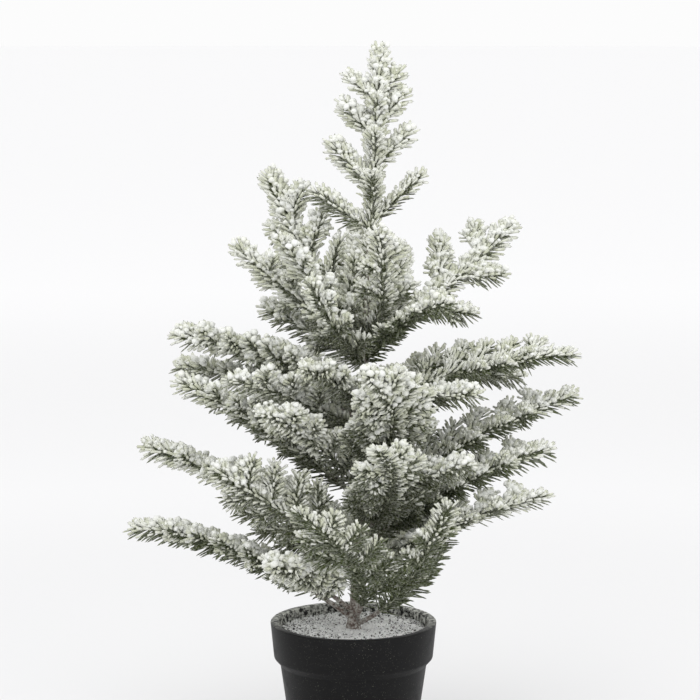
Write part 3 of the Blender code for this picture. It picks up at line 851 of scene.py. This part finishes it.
class Value:
    """A shader value that Python's arithmetic works on."""

    def __init__(self, finish, socket):
        self.finish = finish
        self.socket = socket

    def maths(self, operation, first, second):
        node = self.finish.node("ShaderNodeMath", {"operation": operation}, {0: first, 1: second})
        return Value(self.finish, node.outputs[0])

    def __add__(self, other):
        return self.maths("ADD", self, other)

    def __radd__(self, other):
        return self.maths("ADD", other, self)

    def __sub__(self, other):
        return self.maths("SUBTRACT", self, other)

    def __rsub__(self, other):
        return self.maths("SUBTRACT", other, self)

    def __mul__(self, other):
        return self.maths("MULTIPLY", self, other)

    def __rmul__(self, other):
        return self.maths("MULTIPLY", other, self)

    def between(self, low, high):
        """0 where the value is at most low, 1 where it is at least high."""
        settings = {"interpolation_type": "SMOOTHSTEP"}
        node = self.finish.node(
            "ShaderNodeMapRange", settings, {"Value": self, "From Min": low, "From Max": high}
        )
        return Value(self.finish, node.outputs["Result"])


class Finish:
    """A material, and the ways that nodes are added to it."""

    def __init__(self, name, roughness):
        self.material = bpy.data.materials.new(name)
        self.material.use_nodes = True
        self.tree = self.material.node_tree
        self.shader = self.tree.nodes["Principled BSDF"]
        self.shader.inputs["Roughness"].default_value = roughness
        place = self.node("ShaderNodeTexCoord", {}, {})
        self.place = Value(self, place.outputs["Object"])

    def node(self, kind, settings, sockets):
        made = self.tree.nodes.new(kind)
        for name, value in settings.items():
            setattr(made, name, value)
        for name, value in sockets.items():
            self.feed(made.inputs[name], value)
        return made

    def feed(self, socket, value):
        if isinstance(value, Value):
            self.tree.links.new(value.socket, socket)
        else:
            socket.default_value = value

    def noise(self, size, detail=2.0, roughness=0.5):
        """Noise of about 0 to 1 in patches of the size, in metres."""
        sockets = {"Vector": self.place, "Scale": 1.0 / size, "Detail": detail}
        sockets["Roughness"] = roughness
        node = self.node("ShaderNodeTexNoise", {}, sockets)
        return Value(self, node.outputs["Fac"])

    def axes(self, vector):
        """The X, Y and Z of a vector."""
        node = self.node("ShaderNodeSeparateXYZ", {}, {0: vector})
        return [Value(self, node.outputs[axis]) for axis in "XYZ"]

    def normal(self):
        geometry = self.node("ShaderNodeNewGeometry", {}, {})
        return Value(self, geometry.outputs["Normal"])

    def blend(self, share, first, second):
        """A colour between two colours."""
        sockets = {0: share, 6: colour_value(first), 7: colour_value(second)}
        node = self.node("ShaderNodeMix", {"data_type": "RGBA"}, sockets)
        return Value(self, node.outputs[2])

    def colour(self, value):
        self.feed(self.shader.inputs["Base Color"], colour_value(value))

    def roughness(self, value):
        self.feed(self.shader.inputs["Roughness"], value)

    def bump(self, height, depth, strength=1.0):
        """Relief of the depth, in metres."""
        sockets = {"Height": height, "Distance": depth, "Strength": strength}
        node = self.node("ShaderNodeBump", {}, sockets)
        self.tree.links.new(node.outputs["Normal"], self.shader.inputs["Normal"])


def colour_value(value):
    return value if isinstance(value, Value) else (*value, 1.0)


def tinted(colour, share):
    """A colour made darker, or brighter with a share over 1."""
    return tuple(share * channel for channel in colour)


def snow_finish(name, thin, thick):
    finish = Finish(name, 0.95)
    patches = finish.noise(size=0.008, detail=3.0).between(0.35, 0.62)
    finish.colour(finish.blend(patches, thin, thick))
    finish.bump(finish.noise(size=0.0012, detail=3.0, roughness=0.7), depth=0.0006, strength=0.7)
    return finish.material


def needle_finish(name, green, dust, snow):
    finish = Finish(name, 0.55)
    frost = finish.noise(size=0.0016, roughness=0.6).between(0.40, 0.64) * dust
    tone = finish.noise(size=0.006).between(0.3, 0.7)
    leaf = finish.blend(tone, tinted(green, 0.55), green)
    finish.colour(finish.blend(frost, leaf, snow.flock))
    finish.roughness(0.5 + frost * 0.45)
    finish.bump(finish.noise(size=0.0009), depth=0.0003, strength=0.5)
    return finish.material


def twig_finish(colour, snow):
    finish = Finish("dusted_twig", 0.8)
    dust = finish.noise(size=0.004, detail=3.0).between(0.42, 0.62)
    finish.colour(finish.blend(dust, colour, snow.shade))
    finish.bump(finish.noise(size=0.0012), depth=0.0004, strength=0.6)
    return finish.material


def bark_finish(bark, snow):
    finish = Finish("brown_wrap", 0.85)
    fibres = finish.noise(size=0.003, detail=4.0, roughness=0.65).between(0.3, 0.7)
    brown = finish.blend(fibres, tinted(bark.colour, 0.45), bark.colour)
    clinging = finish.noise(size=0.0022, detail=4.0, roughness=0.65).between(0.38, 0.66)
    finish.colour(finish.blend(clinging * bark.dust, brown, snow.flock))
    finish.bump(finish.noise(size=0.0011, detail=3.0, roughness=0.6), depth=0.0005, strength=0.8)
    return finish.material


def pot_finish(pot, snow):
    finish = Finish("black_plastic", 0.5)
    scuffs = finish.noise(size=0.012, detail=6.0, roughness=0.7).between(0.45, 0.75)
    wall = finish.blend(scuffs, pot.colour, tinted(pot.colour, 1.7))
    specks = finish.noise(size=0.0006, detail=1.0).between(0.69, 0.77) * pot.specks
    wall = finish.blend(specks, wall, snow.shade)
    dust = pot_dust(finish)
    finish.colour(finish.blend(dust, wall, snow.flock))
    finish.shader.inputs["Specular IOR Level"].default_value = POT_SPECULAR
    finish.roughness(0.46 + scuffs * 0.14 + dust * 0.4)
    grain = finish.noise(size=0.0007) * 0.5 + dust * finish.noise(size=0.0014, detail=3.0)
    finish.bump(grain, depth=0.0002, strength=0.35)
    return finish.material


def pot_dust(finish):
    """Grey dust on the lip, thinner at the front, and a mottled coat inside the rim."""
    across, deep, height = finish.axes(finish.place)
    facing_right, facing_back, facing_up = finish.axes(finish.normal())
    inward = (across * facing_right + deep * facing_back) * (-1.0 / RIM_RADIUS)
    mottle = finish.noise(size=0.0028, detail=4.0, roughness=0.6)
    top = height.between(POT_HEIGHT - LIP_UNDER[0], POT_HEIGHT - LIP_UNDER[1])
    top = top * facing_up.between(0.3, 0.9)
    behind = deep.between(LIP_BACK[0] * RIM_RADIUS, LIP_BACK[1] * RIM_RADIUS)
    on_lip = top * behind * mottle.between(0.38, 0.58) * POT_DUST
    inside = inward.between(0.3, 0.6) * mottle.between(0.40, 0.64) * POT_DUST
    return on_lip + inside


def fill_finish(fill):
    finish = Finish("dusted_fill", 0.95)
    patches = finish.noise(size=0.013, detail=4.0, roughness=0.6).between(0.50, 0.64)
    grains = finish.noise(size=0.0014, roughness=0.6).between(0.38, 0.62)
    pale = finish.blend(grains, tinted(fill.snow, 0.72), fill.snow)
    dark = finish.blend(grains, fill.colour, tinted(fill.colour, 6.0))
    finish.colour(finish.blend(patches * 0.45, pale, dark))
    finish.bump(finish.noise(size=0.0014, detail=4.0, roughness=0.7), depth=0.0012)
    return finish.material


def grit_finish(name, colour, shade):
    finish = Finish(name, 0.95)
    finish.colour(finish.blend(finish.noise(size=0.003).between(0.3, 0.7), colour, shade))
    finish.bump(finish.noise(size=0.0008), depth=0.0003, strength=0.6)
    return finish.material


def stage_finish(stage):
    finish = Finish("pale_floor", 0.9)
    finish.colour(stage.colour)
    across, deep, _ = finish.axes(finish.place)
    # The glow is worked out from the square of the distance from the middle.
    square = across * across + deep * deep
    near = square.between(NEAR_GLOW[0] ** 2, NEAR_GLOW[1] ** 2) * NEAR_SHARE
    far = square.between(FAR_GLOW[0] ** 2, FAR_GLOW[1] ** 2) * FAR_SHARE
    share = (GLOW_IN_MIDDLE + near + far) * (1.0 / (GLOW_IN_MIDDLE + NEAR_SHARE + FAR_SHARE))
    glow = finish.blend(share, (0.0, 0.0, 0.0), stage.colour)
    finish.feed(finish.shader.inputs["Emission Color"], glow)
    finish.shader.inputs["Emission Strength"].default_value = stage.glow
    return finish.material


# Settings.


def colour_setting(name, description, colour):
    return bpy.props.FloatVectorProperty(
        name=name, description=description, subtype="COLOR", size=3, min=0.0, max=1.0,
        default=colour,
    )


def share_setting(name, description, share):
    return bpy.props.FloatProperty(
        name=name, description=description, subtype="FACTOR", min=0.0, max=1.0, default=share
    )


def length_setting(name, description, length, shortest, longest):
    return bpy.props.FloatProperty(
        name=name, description=description, unit="LENGTH", min=shortest, max=longest,
        default=length,
    )


class PotSettings(bpy.types.PropertyGroup):
    """Sizes and colours of the pot."""

    colour: colour_setting("Colour", "Colour of the plastic", (0.0045, 0.0045, 0.0048))
    rounding: length_setting("Rounding", "Width of the rounded edges", 0.0009, 0.0, 0.003)
    specks: share_setting("Specks", "How strong the pale specks on the wall are", 0.2)


class FillSettings(bpy.types.PropertyGroup):
    """Sizes and colours of the fill and the grit on it."""

    colour: colour_setting("Dark colour", "Colour of the bare granules", (0.030, 0.029, 0.027))
    snow: colour_setting("Snow colour", "Colour of the snow on the fill", (0.86, 0.865, 0.855))
    crumbs: bpy.props.IntProperty(
        name="Snow crumbs", description="Number of white crumbs on the fill", default=5200,
        min=0, max=20000,
    )
    granules: bpy.props.IntProperty(
        name="Granules", description="Number of dark granules on the fill", default=2700,
        min=0, max=20000,
    )
    size: length_setting("Crumb size", "Usual radius of a crumb", 0.0006, 0.0001, 0.003)


class BarkSettings(bpy.types.PropertyGroup):
    """Colour and relief of the trunk's and the limbs' wrap."""

    colour: colour_setting("Colour", "Colour of the brown wrap", (0.165, 0.118, 0.098))
    dust: share_setting("Dust", "How much snow dust clings to the wrap", 0.55)
    relief: length_setting("Relief", "Height of the ridges of the wrap", 0.00035, 0.0, 0.002)
    pitch: length_setting(
        "Pitch", "Distance from one turn of the wrap to the next", 0.0045, 0.001, 0.02
    )


class NeedleSettings(bpy.types.PropertyGroup):
    """Sizes, number and colours of the twigs and needles."""

    per_metre: bpy.props.FloatProperty(
        name="Needles per metre", description="Needles on one metre of twig", default=2200.0,
        min=100.0, max=6000.0,
    )
    length: length_setting("Length", "Usual length of a needle", 0.0128, 0.002, 0.03)
    width: length_setting("Width", "Width of a needle", 0.0015, 0.0003, 0.004)
    fresh: colour_setting("Fresh green", "Needles of the barest sprays", (0.058, 0.080, 0.010))
    mid: colour_setting("Middle green", "Needles of most sprays", (0.066, 0.083, 0.018))
    grey: colour_setting("Grey green", "Needles of the dustiest sprays", (0.102, 0.118, 0.050))
    twig: colour_setting("Twig", "Colour of the twigs", (0.036, 0.048, 0.012))


class SnowSettings(bpy.types.PropertyGroup):
    """Amount and colour of the snow."""

    amount: bpy.props.FloatProperty(
        name="Amount", description="How strongly the sprays differ in their snow",
        default=1.1, min=0.0, max=3.0,
    )
    thickness: length_setting(
        "Thickness", "Radius of the snow on a fully laden needle", 0.00120, 0.0002, 0.004
    )
    clumps: share_setting("Clumps", "Share of the snowiest needles that carry a lump", 0.9)
    colour: colour_setting("Colour", "Colour of the snow", (0.79, 0.80, 0.772))
    flock: colour_setting("Flock", "Colour of the coat on the needles", (0.757, 0.766, 0.708))
    shade: colour_setting("Thin flock", "Colour of the coat where thin", (0.56, 0.578, 0.455))


class StageSettings(bpy.types.PropertyGroup):
    """The floor, the light and the camera."""

    colour: colour_setting("Floor", "Colour of the floor", (0.75, 0.75, 0.756))
    glow: bpy.props.FloatProperty(
        name="Glow", description="Light that the far floor gives off", default=0.27,
        min=0.0, max=2.0,
    )
    key: bpy.props.FloatProperty(
        name="Key light", description="Power of the soft light above and before the tree",
        unit="POWER", default=19.0, min=0.0, max=500.0,
    )
    sky: bpy.props.FloatProperty(
        name="Surround", description="Brightness of the white surround", default=0.975,
        min=0.0, max=5.0,
    )


SETTINGS = {
    "pine_pot": PotSettings,
    "pine_fill": FillSettings,
    "pine_bark": BarkSettings,
    "pine_needles": NeedleSettings,
    "pine_snow": SnowSettings,
    "pine_stage": StageSettings,
}


# Operators, one for each piece or group of like pieces.


def spun(profile, steps):
    """A bmesh turned round the Z axis from (radius, height) points."""
    work = bmesh.new()
    verts = [work.verts.new((radius, 0.0, height)) for radius, height in profile]
    edges = [work.edges.new(pair) for pair in zip(verts, verts[1:])]
    bmesh.ops.spin(
        work,
        geom=verts + edges,
        axis=UP,
        cent=(0.0, 0.0, 0.0),
        angle=math.tau,
        steps=steps,
        use_merge=True,
    )
    bmesh.ops.remove_doubles(work, verts=work.verts, dist=1e-6)
    bmesh.ops.recalc_face_normals(work, faces=work.faces)
    return work


def inner_radius(height):
    """The pot's inside radius, from the taper of its outside wall."""
    body_height = POT_HEIGHT - BAND_HEIGHT - BAND_CHAMFER
    slope = (BODY_TOP_RADIUS - FOOT_RADIUS) / body_height
    return FOOT_RADIUS - WALL + slope * height


class PINE_OT_stage(bpy.types.Operator):
    """Make the floor, the soft light and the camera"""

    bl_idname = "pine.stage"
    bl_label = "Stage"

    def execute(self, context):
        stage = context.scene.pine_stage
        self.make_floor(stage)
        self.make_light("key", KEY_PLACE, KEY_SIZE, stage.key)
        soft = FILL_LIGHT_SHARE * stage.key
        self.make_light("fill_light", FILL_LIGHT_PLACE, FILL_LIGHT_SIZE, soft)
        self.make_sky(context.scene, stage)
        self.make_camera(context.scene)
        return {"FINISHED"}

    def make_floor(self, stage):
        work = bmesh.new()
        circle(work, FLOOR_SIDES, FLOOR_RADIUS)
        bmesh.ops.recalc_face_normals(work, faces=work.faces)
        if any(face.normal.z < 0 for face in work.faces):
            bmesh.ops.reverse_faces(work, faces=work.faces)
        mesh = bpy.data.meshes.new("floor")
        work.to_mesh(mesh)
        work.free()
        floor = bpy.data.objects.new("floor", mesh)
        mesh.materials.append(stage_finish(stage))
        bpy.context.scene.collection.objects.link(floor)

    def make_light(self, name, place, size, power):
        light = bpy.data.lights.new(name, "AREA")
        light.shape = "DISK"
        light.size = size
        light.energy = power
        lamp = bpy.data.objects.new(name, light)
        lamp.location = place
        aim = Vector(LIGHT_AIM) - Vector(place)
        lamp.rotation_euler = aim.to_track_quat("-Z", "Y").to_euler()
        bpy.context.scene.collection.objects.link(lamp)

    def make_sky(self, scene, stage):
        world = bpy.data.worlds.new("surround")
        world.use_nodes = True
        sky = world.node_tree.nodes["Background"]
        sky.inputs["Color"].default_value = (1.0, 1.0, 1.0, 1.0)
        sky.inputs["Strength"].default_value = stage.sky
        scene.world = world
        scene.view_settings.view_transform = "Standard"

    def make_camera(self, scene):
        lens = bpy.data.cameras.new("camera")
        lens.lens = CAMERA_LENS
        lens.sensor_width = CAMERA_SENSOR
        camera = bpy.data.objects.new("camera", lens)
        camera.location = CAMERA_PLACE
        camera.rotation_euler = (CAMERA_TILT, 0.0, 0.0)
        scene.collection.objects.link(camera)
        scene.camera = camera


class PINE_OT_pot(bpy.types.Operator):
    """Make the pot with rounded edges"""

    bl_idname = "pine.pot"
    bl_label = "Pot"

    def execute(self, context):
        settings = context.scene.pine_pot
        band_foot = POT_HEIGHT - BAND_HEIGHT
        profile = (
            (0.0, 0.0),
            (FOOT_RADIUS, 0.0),
            (BODY_TOP_RADIUS, band_foot - BAND_CHAMFER),
            (BAND_FOOT_RADIUS, band_foot),
            (RIM_RADIUS, POT_HEIGHT),
            (inner_radius(POT_HEIGHT), POT_HEIGHT),
            (inner_radius(WALL), WALL),
            (0.0, WALL),
        )
        work = spun(profile, POT_STEPS)
        joined = [edge for edge in work.edges if len(edge.link_faces) == 2]
        corners = [edge for edge in joined if edge.calc_face_angle() > CORNER]
        bmesh.ops.bevel(
            work,
            geom=corners,
            offset=settings.rounding,
            affect="EDGES",
            segments=CORNER_STEPS,
            profile=0.5,
            material=-1,
        )
        finish = pot_finish(settings, context.scene.pine_snow)
        piece = piece_of("pot_shell", work, finish)
        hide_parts("pot")
        return {"FINISHED"}


class PINE_OT_fill(bpy.types.Operator):
    """Make the dusted fill and the crumbs on it"""

    bl_idname = "pine.fill"
    bl_label = "Fill"

    def execute(self, context):
        settings = context.scene.pine_fill
        radius = inner_radius(FILL_TOP) - GAP
        rings = [(radius * k / FILL_RINGS, FILL_TOP) for k in range(FILL_RINGS + 1)]
        foot = WALL + GAP
        work = spun(rings + [(inner_radius(foot) - GAP, foot), (0.0, foot)], FILL_STEPS)
        for vert in work.verts:
            if vert.co.z > FILL_TOP - GAP:
                vert.co.z += self.rise(np.array([vert.co]))[0]
        bmesh.ops.recalc_face_normals(work, faces=work.faces)
        piece = piece_of("fill_bed", work, fill_finish(settings), math.pi)
        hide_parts("fill")
        pale = snow_finish("fill_snow", tinted(settings.snow, CRUMB_SHADE), settings.snow)
        self.scatter("snow_crumbs", settings.crumbs, settings.size, pale, 0.0)
        shade = tinted(settings.colour, GRANULE_SHADE)
        dark = grit_finish("dark_granules", settings.colour, shade)
        small = GRANULE_SHARE * settings.size
        self.scatter("dark_granules", settings.granules, small, dark, GRANULES_OUTWARD)
        return {"FINISHED"}

    def rise(self, points):
        """Height of the uneven fill over its level top, less beside the wall."""
        coarse = patch(points, COARSE_SIZE, 3.0)
        fine = patch(points, FINE_SIZE, 9.0)
        edge = np.hypot(points[:, 0], points[:, 1]) / inner_radius(FILL_TOP)
        return COARSE_HEIGHT * coarse + FINE_HEIGHT * fine + FILL_LIFT - EDGE_DROP * edge**4

    def scatter(self, name, count, size, finish, outward):
        """Crumbs sunk a little in the fill; outward above 0 crowds them toward the wall."""
        draw = np.random.default_rng(LOOKS_SEED + len(name))
        reach = inner_radius(FILL_TOP) - 2 * size
        radius = reach * np.sqrt(draw.uniform(0.0, 1.0, count)) ** (1.0 - 0.5 * outward)
        angle = draw.uniform(0.0, math.tau, count)
        across, deep = radius * np.cos(angle), radius * np.sin(angle)
        level = np.stack([across, deep, np.full(count, FILL_TOP)], 1)
        level[:, 2] += self.rise(level)
        radii = size * draw.lognormal(0.0, GRIT_SPREAD, count)
        verts, faces = lumps(level, radii, draw, GRIT_ROUGHNESS, GRIT_FLATNESS)
        add_mesh(name, verts, faces, finish, smooth=False)


class PINE_OT_bark(bpy.types.Operator):
    """Make the wrapped bark of the trunk and the limbs"""

    bl_idname = "pine.bark"
    bl_label = "Bark"

    def execute(self, context):
        bark = context.scene.pine_bark
        heights = np.linspace(FILL_TOP - WRAP_SUNK, TRUNK_TOP + WRAP_OVERLAP, TRUNK_RINGS)
        axis = np.array([trunk_axis(height) for height in heights])
        radii = np.array([trunk_radius(max(height, FILL_TOP)) for height in heights])
        work = bmesh.new()
        self.wrap(work, axis, radii, TRUNK_SIDES, bark)
        nodes = ["trunk"]
        for bough in grown():
            if bough.bare:
                points = bough.between(0.0, bough.limb_end + LIMB_OVERLAP, LIMB_LINE_STEP)
                line = smooth_line(points, WRAP_STEP)
                radii = np.linspace(LIMB_FOOT_RADIUS, LIMB_TIP_RADIUS, len(line))
                self.wrap(work, line, radii, LIMB_SIDES, bark)
                nodes.append("bough_" + bough.name)
        bmesh.ops.recalc_face_normals(work, faces=work.faces)
        finish = bark_finish(bark, context.scene.pine_snow)
        piece = piece_of("bark", work, finish, math.radians(60))
        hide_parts(*nodes)
        return {"FINISHED"}

    def wrap(self, work, line, radii, sides, bark):
        """A limb with the ridges of its wrap, which runs round it in a long screw."""
        _, across, up = frames(line)
        ring = circle(work, sides)
        angles = [math.atan2(vert.co.y, vert.co.x) for vert in ring]
        for step, at in enumerate(run_of(line)):
            if step:
                ring = self.next_ring(work, ring)
            self.lay(ring, angles, line[step], across[step], up[step], radii[step], at, bark)
        bmesh.ops.contextual_create(work, geom=ring)

    def next_ring(self, work, ring):
        """Extrudes a ring, and gives the new one with its vertices in the old one's order."""
        old = set(ring)
        beside = ((vert, edge) for vert in ring for edge in vert.link_edges)
        edges = dict.fromkeys(edge for vert, edge in beside if edge.other_vert(vert) in old)
        made = bmesh.ops.extrude_edge_only(work, edges=list(edges))["geom"]
        new = {item for item in made if isinstance(item, bmesh.types.BMVert)}
        ends = [[edge.other_vert(vert) for edge in vert.link_edges] for vert in ring]
        return [next(vert for vert in around if vert in new) for around in ends]

    def lay(self, ring, angles, point, side, over, radius, at, bark):
        """Puts a ring's vertices round a point, on the wrap's screw and grain."""
        for vert, angle in zip(ring, angles):
            screw = (at / bark.pitch - angle / math.tau) % 1.0
            ridge = (1.0 - screw) ** 2 - RIDGE_LEVEL
            out = side * math.cos(angle) + over * math.sin(angle)
            place = Vector(point + radius * out)
            grain = noise.noise(place / GRAIN_SIZE)
            grain += FINE_GRAIN * noise.noise(place / FINE_GRAIN_SIZE)
            vert.co = point + (radius + bark.relief * (ridge + GRAIN * grain)) * out


class PINE_OT_twigs(bpy.types.Operator):
    """Make the twigs of every spray"""

    bl_idname = "pine.twigs"
    bl_label = "Twigs"

    def execute(self, context):
        scene = context.scene
        shape = tube_template(TWIG_RINGS, TWIG_SIDES)
        verts, faces = gathered([self.tube(shape, shoot) for shoot in shoots()])
        finish = twig_finish(scene.pine_needles.twig, scene.pine_snow)
        add_mesh("twigs", verts, faces, finish)
        return {"FINISHED"}

    def tube(self, shape, shoot):
        """A tapering tube along the shoot."""
        verts, faces = shape
        rows = np.rint(verts[:, 2])
        point, _, across, up = shoot.at(shoot.length * rows / (TWIG_RINGS - 1))
        radius = shoot.foot + (shoot.tip - shoot.foot) * rows / (TWIG_RINGS - 1)
        round_it = verts[:, :1] * across + verts[:, 1:2] * up
        return point + radius[:, None] * round_it, faces


class PINE_OT_needles(bpy.types.Operator):
    """Make the needles, in pieces of one green each"""

    bl_idname = "pine.needles"
    bl_label = "Needles"

    def execute(self, context):
        scene = context.scene
        sizes = scene.pine_needles
        grove = needles()
        draw = np.random.default_rng(LOOKS_SEED + 1)
        over = grove.face
        side = np.cross(over, grove.way)
        width = sizes.width * draw.uniform(*WIDTHS, len(side))
        measures = np.stack([width, width, grove.length], axis=1)
        shape = needle_template()
        for green, dust in GREENS.items():
            colour = getattr(sizes, green)
            finish = needle_finish(green + "_needles", colour, dust, scene.pine_snow)
            for number, owners in enumerate(self.bundles(green, grove, len(shape[1]))):
                own = np.isin(grove.owner, owners)
                verts, faces = stamped(
                    shape, grove.root[own], side[own], over[own], grove.way[own], measures[own]
                )
                name = f"{green}_needles_{number + 1}"
                piece = add_mesh(name, verts, faces, finish, smooth=False)
                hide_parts(*(grown()[n].node for n in owners))
        return {"FINISHED"}

    def bundles(self, green, grove, triangles):
        """The sprays of one green in bundles, each small enough for one piece."""
        most = MOST_TRIANGLES // triangles
        counts = np.bincount(grove.owner, minlength=len(grown()))
        bundles = [[]]
        for owner, bough in enumerate(grown()):
            if bough.green == green:
                if counts[bundles[-1] + [owner]].sum() > most:
                    bundles.append([])
                bundles[-1].append(owner)
        return bundles


class PINE_OT_snow(bpy.types.Operator):
    """Lay the snow on the needles"""

    bl_idname = "pine.snow"
    bl_label = "Snow"

    def execute(self, context):
        snow = context.scene.pine_snow
        draw = np.random.default_rng(LOOKS_SEED + 2)
        flock = snow_finish("flock_coat", snow.shade, snow.flock)
        thick = snow_finish("thick_snow", snow.flock, snow.colour)
        self.add_in_pieces("needle_snow", *self.coats(snow, draw), flock)
        self.add_in_pieces("snow_clumps", *self.clumps(snow, draw), thick)
        return {"FINISHED"}

    def coats(self, snow, draw):
        """A coat on each needle, flat as its blade where thin and round where thick."""
        grove = needles()
        own = grove.snow > BARE
        amount = np.clip(grove.snow[own], 0.0, FULL_COAT)
        way, over, length = grove.way[own], grove.face[own], grove.length[own]
        swell = draw.uniform(*WIDTHS, len(amount))
        width = snow.thickness * (COAT_WIDTH[0] + COAT_WIDTH[1] * amount) * swell
        depth = snow.thickness * (COAT_DEPTH[0] + COAT_DEPTH[1] * amount) * swell
        # A thick coat starts nearer the needle's foot.
        start = length * (COAT_START[0] + COAT_START[1] * amount)
        end = length + COAT_PAST_TIP * depth
        measures = np.stack([width, depth, end - start], axis=1)
        origin = grove.root[own] + way * start[:, None]
        shape = coat_template()
        side = np.cross(over, way)
        made = stamped(shape, origin, side, over, way, measures, COAT_ROUGHNESS, draw)
        return made, shape, grove.owner[own]

    def clumps(self, snow, draw):
        """Lumps on the snowiest needles, which they join."""
        grove = needles()
        heap = np.clip((grove.snow - CLUMPED) / (HEAPED - CLUMPED), 0.0, 1.0)
        own = draw.uniform(0.0, 1.0, len(heap)) < heap * snow.clumps
        reach = grove.length[own] * draw.uniform(*LUMP_REACH, own.sum())
        centres = grove.root[own] + grove.way[own] * reach[:, None]
        smallest, growth = LUMP_SIZES
        swell = growth * heap[own] * draw.uniform(*LUMP_GROWTH, own.sum())
        radii = snow.thickness * (smallest + swell)
        made = lumps(centres, radii, draw, LUMP_ROUGHNESS, LUMP_FLATNESS)
        return made, lump_template(), grove.owner[own]

    def add_in_pieces(self, name, made, shape, owners, finish):
        """Pieces in the order of their sprays, each with fewer than the most triangles."""
        points, triangles = len(shape[0]), len(shape[1])
        order = np.argsort(owners, kind="stable")
        verts = made[0].reshape(-1, points, 3)[order]
        pieces = math.ceil(len(order) / (MOST_TRIANGLES // triangles))
        for number, share in enumerate(np.array_split(verts, pieces)):
            faces = repeated(shape[1], len(share), points)
            add_mesh(f"{name}_{number + 1}", share.reshape(-1, 3), faces, finish)


class PINE_PT_panel(bpy.types.Panel):
    """The pine's pieces and settings, in the sidebar"""

    bl_idname = "PINE_PT_panel"
    bl_label = "Pine"
    bl_space_type = "VIEW_3D"
    bl_region_type = "UI"
    bl_category = "Pine"

    def draw(self, context):
        for operator in OPERATORS:
            self.layout.operator(operator.bl_idname)
        for name in SETTINGS:
            box = self.layout.box()
            group = getattr(context.scene, name)
            for key in group.bl_rna.properties.keys():
                if key not in ("rna_type", "name"):
                    box.prop(group, key)


OPERATORS = (
    PINE_OT_stage,
    PINE_OT_pot,
    PINE_OT_fill,
    PINE_OT_bark,
    PINE_OT_twigs,
    PINE_OT_needles,
    PINE_OT_snow,
)
CLASSES = (*SETTINGS.values(), *OPERATORS, PINE_PT_panel)


def register():
    for item in CLASSES:
        bpy.utils.register_class(item)
    for name, group in SETTINGS.items():
        setattr(bpy.types.Scene, name, bpy.props.PointerProperty(type=group))


def unregister():
    for name in SETTINGS:
        delattr(bpy.types.Scene, name)
    for item in reversed(CLASSES):
        bpy.utils.unregister_class(item)


def main():
    register()
    bpy.ops.pine.stage()
    bpy.ops.pine.pot()
    bpy.ops.pine.fill()
    bpy.ops.pine.bark()
    bpy.ops.pine.twigs()
    bpy.ops.pine.needles()
    bpy.ops.pine.snow()


if __name__ == "__main__":
    main()
